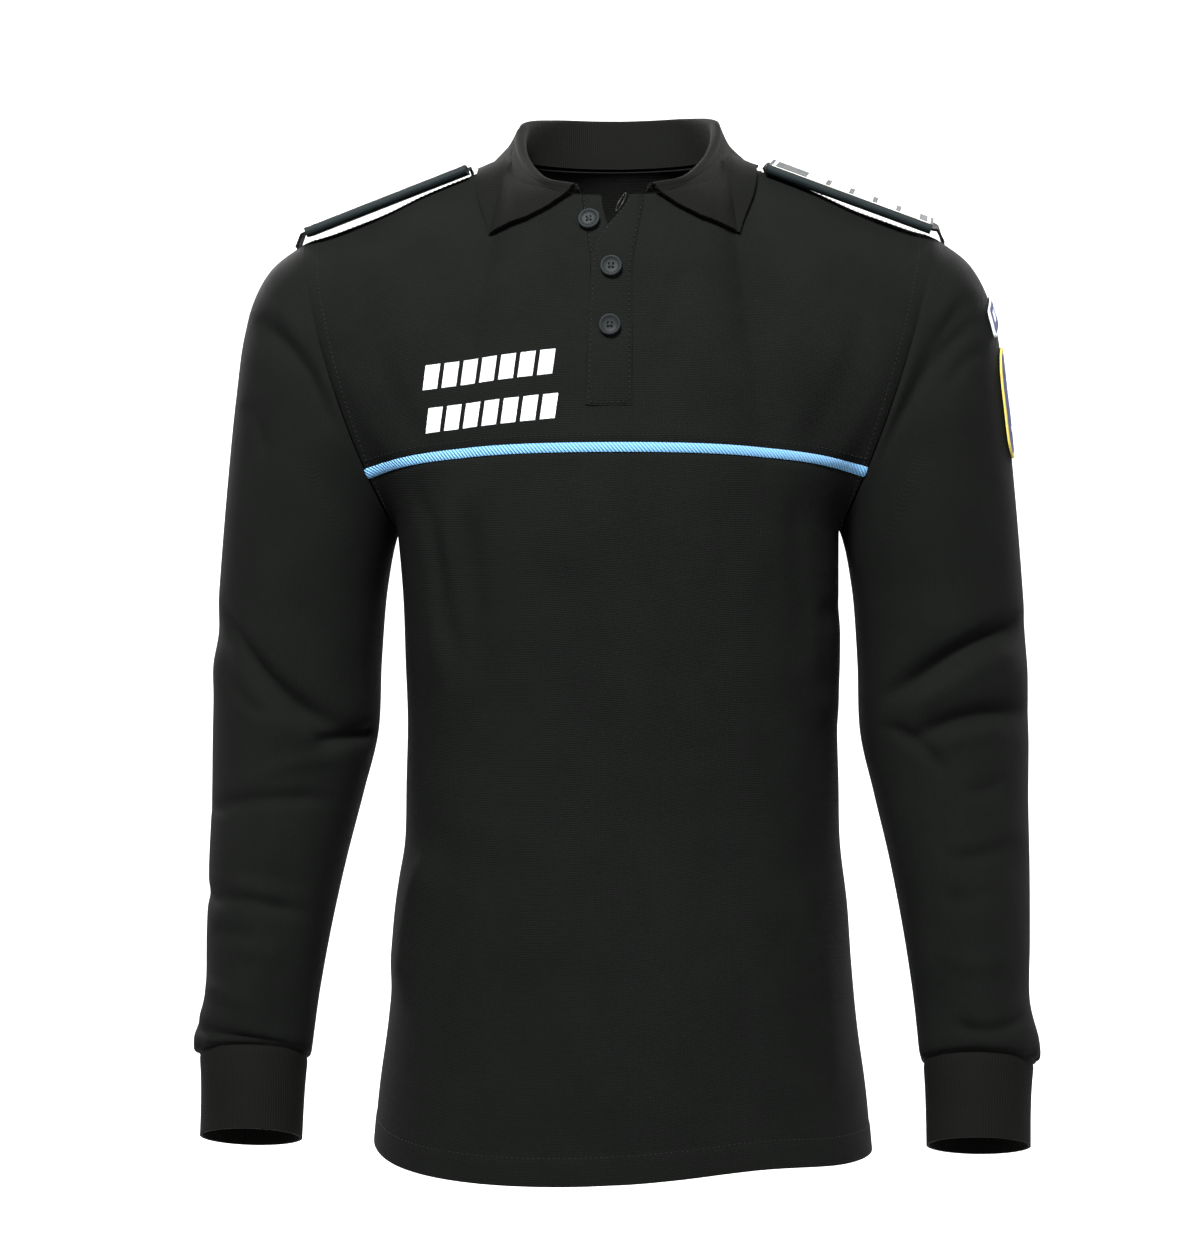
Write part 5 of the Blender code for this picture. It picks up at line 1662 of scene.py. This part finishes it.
class UNIFORM_OT_stitching(bpy.types.Operator):
    """Sew the visible lines of stitches"""

    bl_idname = "uniform.stitching"
    bl_label = "Stitching"

    def execute(self, context):
        thread = thread_finish()
        wide = np.linspace(-0.985, 0.985, 260)
        lines = [self.on_torso(front, wide, self.above_hem(front, wide), FRONT_FOLDS, BODY_CREASES),
                 self.on_torso(back, wide, self.above_hem(back, wide), BACK_CREASES)]
        stitches("hem_stitches", lines, thread)
        height = seam_height(wide) + SEAM + TOPSTITCH
        chest = [self.on_torso(front, wide, climb_at(front, wide, height), CHEST_CREASES)]
        for share in (np.linspace(-0.985, -NECK_SHARE - 0.02, 90), np.linspace(NECK_SHARE + 0.02, 0.985, 90)):
            chest.append(self.on_torso(front, share, np.full_like(share, 0.975), CHEST_CREASES))
        climb = np.linspace(0.06, 0.93, 160)
        for sign in (-1, 1):
            chest.append(self.on_torso(front, np.full_like(climb, sign * 0.965), climb, CHEST_CREASES))
            chest.append(self.on_torso(back, np.full_like(climb, sign * 0.965), climb, BACK_CREASES))
        stitches("chest_stitches", chest, thread)
        seams = []
        for sign in (-1, 1):
            for surface in (front, back):
                rise = np.linspace(0.01, 0.985, 160)
                seams.append(self.edge_line(surface, np.full_like(rise, sign), rise))
            fall = np.linspace(-0.985, 0.01, 200)
            seams.append(self.edge_line(front, np.full_like(fall, sign), fall))
            out = np.linspace(NECK_SHARE + 0.01, 0.985, 90) * sign
            seams.append(self.edge_line(front, out, np.full_like(out, 1.0)))
        seam_fill("seam_turnings", seams, seam_finish())
        self.placket(thread)
        return {"FINISHED"}

    def edge_line(self, surface, share, climb):
        return surface(share, climb), normals_of(surface, share, climb)

    def above_hem(self, surface, share):
        """The climb of the hem's stitch line in each column."""
        climb = np.linspace(-1, -0.9, 21)
        heights = surface(share[:, None], climb[None, :])[..., 2]
        return np.array([np.interp(column[0] + sizes().hem, column, climb) for column in heights])

    def on_torso(self, surface, share, climb, *crease_tables):
        points, normals = surface(share, climb), normals_of(surface, share, climb)
        return creased(points, normals, *crease_tables) + normals * STITCH_LIFT, normals

    def placket(self, thread):
        foot = climb_at(front, np.zeros(1), np.array([PLACKET_BOTTOM + 2 * SEAM]))[0]
        climb = (foot + (0.995 - foot) * np.linspace(0.02, 1, 120))[:, None]
        lines = []
        for node, across in (("placket_top", 0.07), ("placket_top", 0.93), ("placket_under", 0.07)):
            points, normals = placket_band(node, climb, np.array([[across]]))
            lines.append((points[:, 0] + normals[:, 0] * STITCH_LIFT, normals[:, 0]))
        for rise in (0.0022, 0.0125):
            level = climb_at(front, np.zeros(1), np.array([PLACKET_BOTTOM + rise]))[0]
            points, normals = placket_band("placket_top", np.full((2, 1), level), np.linspace(0.07, 0.93, 12)[None, :])
            lines.append((points[0] + normals[0] * STITCH_LIFT, normals[0]))
        stitches("placket_stitches", lines, thread)


BUTTONHOLE = (0.0056, -0.0460)
BUTTONHOLE_LENGTH = 0.0150
BUTTONHOLE_WIDTH = 0.0026


class UNIFORM_OT_buttonhole(bpy.types.Operator):
    """Work the open buttonhole at the top of the placket"""

    bl_idname = "uniform.buttonhole"
    bl_label = "Buttonhole"

    def execute(self, context):
        x, z = BUTTONHOLE
        share, climb = locate(front, x, z, 0.02, 0.85)
        edge = slit_share(climb)
        place = (share + edge) / (2 * edge)
        normal = normals_of(front, np.array(share), np.array(climb))
        seat = front(share, climb) + normal * (PLACKET_LIFT * (1 - place) + 0.0001)
        along = unit(np.array([0.42, 0.0, 0.90]) - normal * np.dot(normal, [0.42, 0.0, 0.90]))
        side = np.cross(normal, along)
        vertices, faces = [], []
        turns, around = 72, 8
        for turn in np.linspace(0, 2 * math.pi, turns, endpoint=False):
            reach = along * math.cos(turn) * BUTTONHOLE_LENGTH / 2 + side * math.sin(turn) * BUTTONHOLE_WIDTH / 2
            out = unit(reach)
            for angle in np.linspace(0, 2 * math.pi, around, endpoint=False):
                thick = 0.00062 * (1 + 0.18 * math.sin(turn * 40))
                vertices.append(seat + reach + out * thick * math.cos(angle) + normal * thick * math.sin(angle))
        for i in range(turns):
            for j in range(around):
                a, b = i * around + j, i * around + (j + 1) % around
                c, d = (i + 1) % turns * around + (j + 1) % around, (i + 1) % turns * around + j
                faces.append((a, d, c, b))
        solid("buttonhole_thread", vertices, faces, thread_finish("buttonhole"), sharp=180)
        return {"FINISHED"}


CAMERA_TARGET = (-0.013, 0.0, -0.334)
CAMERA_DISTANCE = 1.6
CAMERA_TURN = math.radians(3)
CAMERA_LENS = 64.1
FLOOR_HEIGHT = -0.98
FLOOR_BRIGHT_FROM = 0.65
FLOOR_FRONT_GLOW = (0.25, 0.25, 0.25)
WALL_DEPTH = 1.5
LIGHTS = (
    ("key_light", (-0.3, -1.5, 1.4), 0.7, 136.0),
    ("fill_light", (1.9, -1.9, 0.9), 1.3, 20.0),
    ("back_light", (-0.9, 1.3, 0.8), 0.9, 70.0),
    ("rear_light", (0.9, 1.3, 0.8), 0.9, 50.0),
)


def look_at(thing, target):
    """Turns a light or camera to face a place."""
    thing.rotation_euler = (Vector(target) - thing.location).to_track_quat("-Z", "Y").to_euler()


class UNIFORM_OT_stage(bpy.types.Operator):
    """Set up the backdrop, the studio lights and the camera"""

    bl_idname = "uniform.stage"
    bl_label = "Stage"

    def execute(self, context):
        self.backdrop()
        scene = context.scene
        world = bpy.data.worlds.new("studio")
        world.use_nodes = True
        world.node_tree.nodes["Background"].inputs["Color"].default_value = (1, 1, 1, 1)
        world.node_tree.nodes["Background"].inputs["Strength"].default_value = 0.20
        scene.world = world
        for name, place, size, power_watts in LIGHTS:
            lamp = bpy.data.lights.new(name, "AREA")
            lamp.shape = "DISK"
            lamp.size = size
            lamp.energy = power_watts
            light = bpy.data.objects.new(name, lamp)
            light.location = place
            look_at(light, CAMERA_TARGET)
            scene.collection.objects.link(light)
        lens = bpy.data.cameras.new("camera")
        lens.sensor_width = 36
        lens.lens = CAMERA_LENS
        lens.dof.use_dof = False
        camera = bpy.data.objects.new("camera", lens)
        away = Vector((math.sin(CAMERA_TURN), -math.cos(CAMERA_TURN), 0)) * CAMERA_DISTANCE
        camera.location = Vector(CAMERA_TARGET) + away
        camera.rotation_euler = (math.radians(90), 0, CAMERA_TURN)
        scene.collection.objects.link(camera)
        scene.camera = camera
        scene.view_settings.view_transform = "Standard"
        return {"FINISHED"}

    def backdrop(self):
        """A pale sweep: the floor, a round bend and the wall."""
        bend, wide, tall, near = 0.6, 4.0, 3.0, -1.2
        outline = [(near, FLOOR_HEIGHT)]
        for angle in np.linspace(0, math.pi / 2, 17):
            outline.append((WALL_DEPTH - bend + bend * math.sin(angle), FLOOR_HEIGHT + bend - bend * math.cos(angle)))
        outline.append((WALL_DEPTH, tall))
        vertices = [(x, y, z) for y, z in outline for x in (-wide, wide)]
        faces = [(2 * i, 2 * i + 1, 2 * i + 3, 2 * i + 2) for i in range(len(outline) - 1)]
        shade = Shade("backdrop", tuple(colours().backdrop), 0.9, Emission_Strength=1.0)
        depth = {"Value": shade.place()[1], "From Min": 0.0, "From Max": FLOOR_BRIGHT_FROM}
        back = Wire(shade, shade.add("ShaderNodeMapRange", None, depth).outputs[0])
        glow = shade.tint((*FLOOR_FRONT_GLOW, 1.0), (1.0, 1.0, 1.0, 1.0), back)
        shade.tree.links.new(glow, shade.shader.inputs["Emission Color"])
        mesh = bpy.data.meshes.new("backdrop")
        mesh.from_pydata(vertices, [], faces)
        mesh.shade_smooth()
        mesh.materials.append(shade.material)
        sweep = bpy.data.objects.new("backdrop", mesh)
        bpy.context.collection.objects.link(sweep)


OPERATORS = (
    UNIFORM_OT_front, UNIFORM_OT_yoke, UNIFORM_OT_piping, UNIFORM_OT_back, UNIFORM_OT_sleeves,
    UNIFORM_OT_cuffs, UNIFORM_OT_placket, UNIFORM_OT_collar, UNIFORM_OT_straps, UNIFORM_OT_patches,
    UNIFORM_OT_buttons, UNIFORM_OT_stitching, UNIFORM_OT_buttonhole, UNIFORM_OT_stage,
)


class UNIFORM_PT_panel(bpy.types.Panel):
    """The shirt's sizes, colours and pieces"""

    bl_idname = "UNIFORM_PT_panel"
    bl_label = "Police Polo Shirt"
    bl_space_type = "VIEW_3D"
    bl_region_type = "UI"
    bl_category = "Uniform"

    def draw(self, context):
        for title, group in (("Sizes", context.scene.shirt_sizes), ("Colours", context.scene.shirt_colours)):
            box = self.layout.box()
            box.label(text=title)
            for name in group.__annotations__:
                box.prop(group, name)
        box = self.layout.box()
        box.label(text="Pieces")
        for operator in OPERATORS:
            box.operator(operator.bl_idname)


CLASSES = (ShirtSizes, ShirtColours) + OPERATORS + (UNIFORM_PT_panel,)


def register():
    for cls in CLASSES:
        bpy.utils.register_class(cls)
    bpy.types.Scene.shirt_sizes = bpy.props.PointerProperty(type=ShirtSizes)
    bpy.types.Scene.shirt_colours = bpy.props.PointerProperty(type=ShirtColours)


def unregister():
    del bpy.types.Scene.shirt_colours
    del bpy.types.Scene.shirt_sizes
    for cls in reversed(CLASSES):
        bpy.utils.unregister_class(cls)


def main():
    register()
    bpy.ops.uniform.front()
    bpy.ops.uniform.yoke()
    bpy.ops.uniform.piping()
    bpy.ops.uniform.back()
    bpy.ops.uniform.sleeves()
    bpy.ops.uniform.cuffs()
    bpy.ops.uniform.placket()
    bpy.ops.uniform.collar()
    bpy.ops.uniform.straps()
    bpy.ops.uniform.patches()
    bpy.ops.uniform.buttons()
    bpy.ops.uniform.stitching()
    bpy.ops.uniform.buttonhole()
    bpy.ops.uniform.stage()


if __name__ == "__main__":
    main()
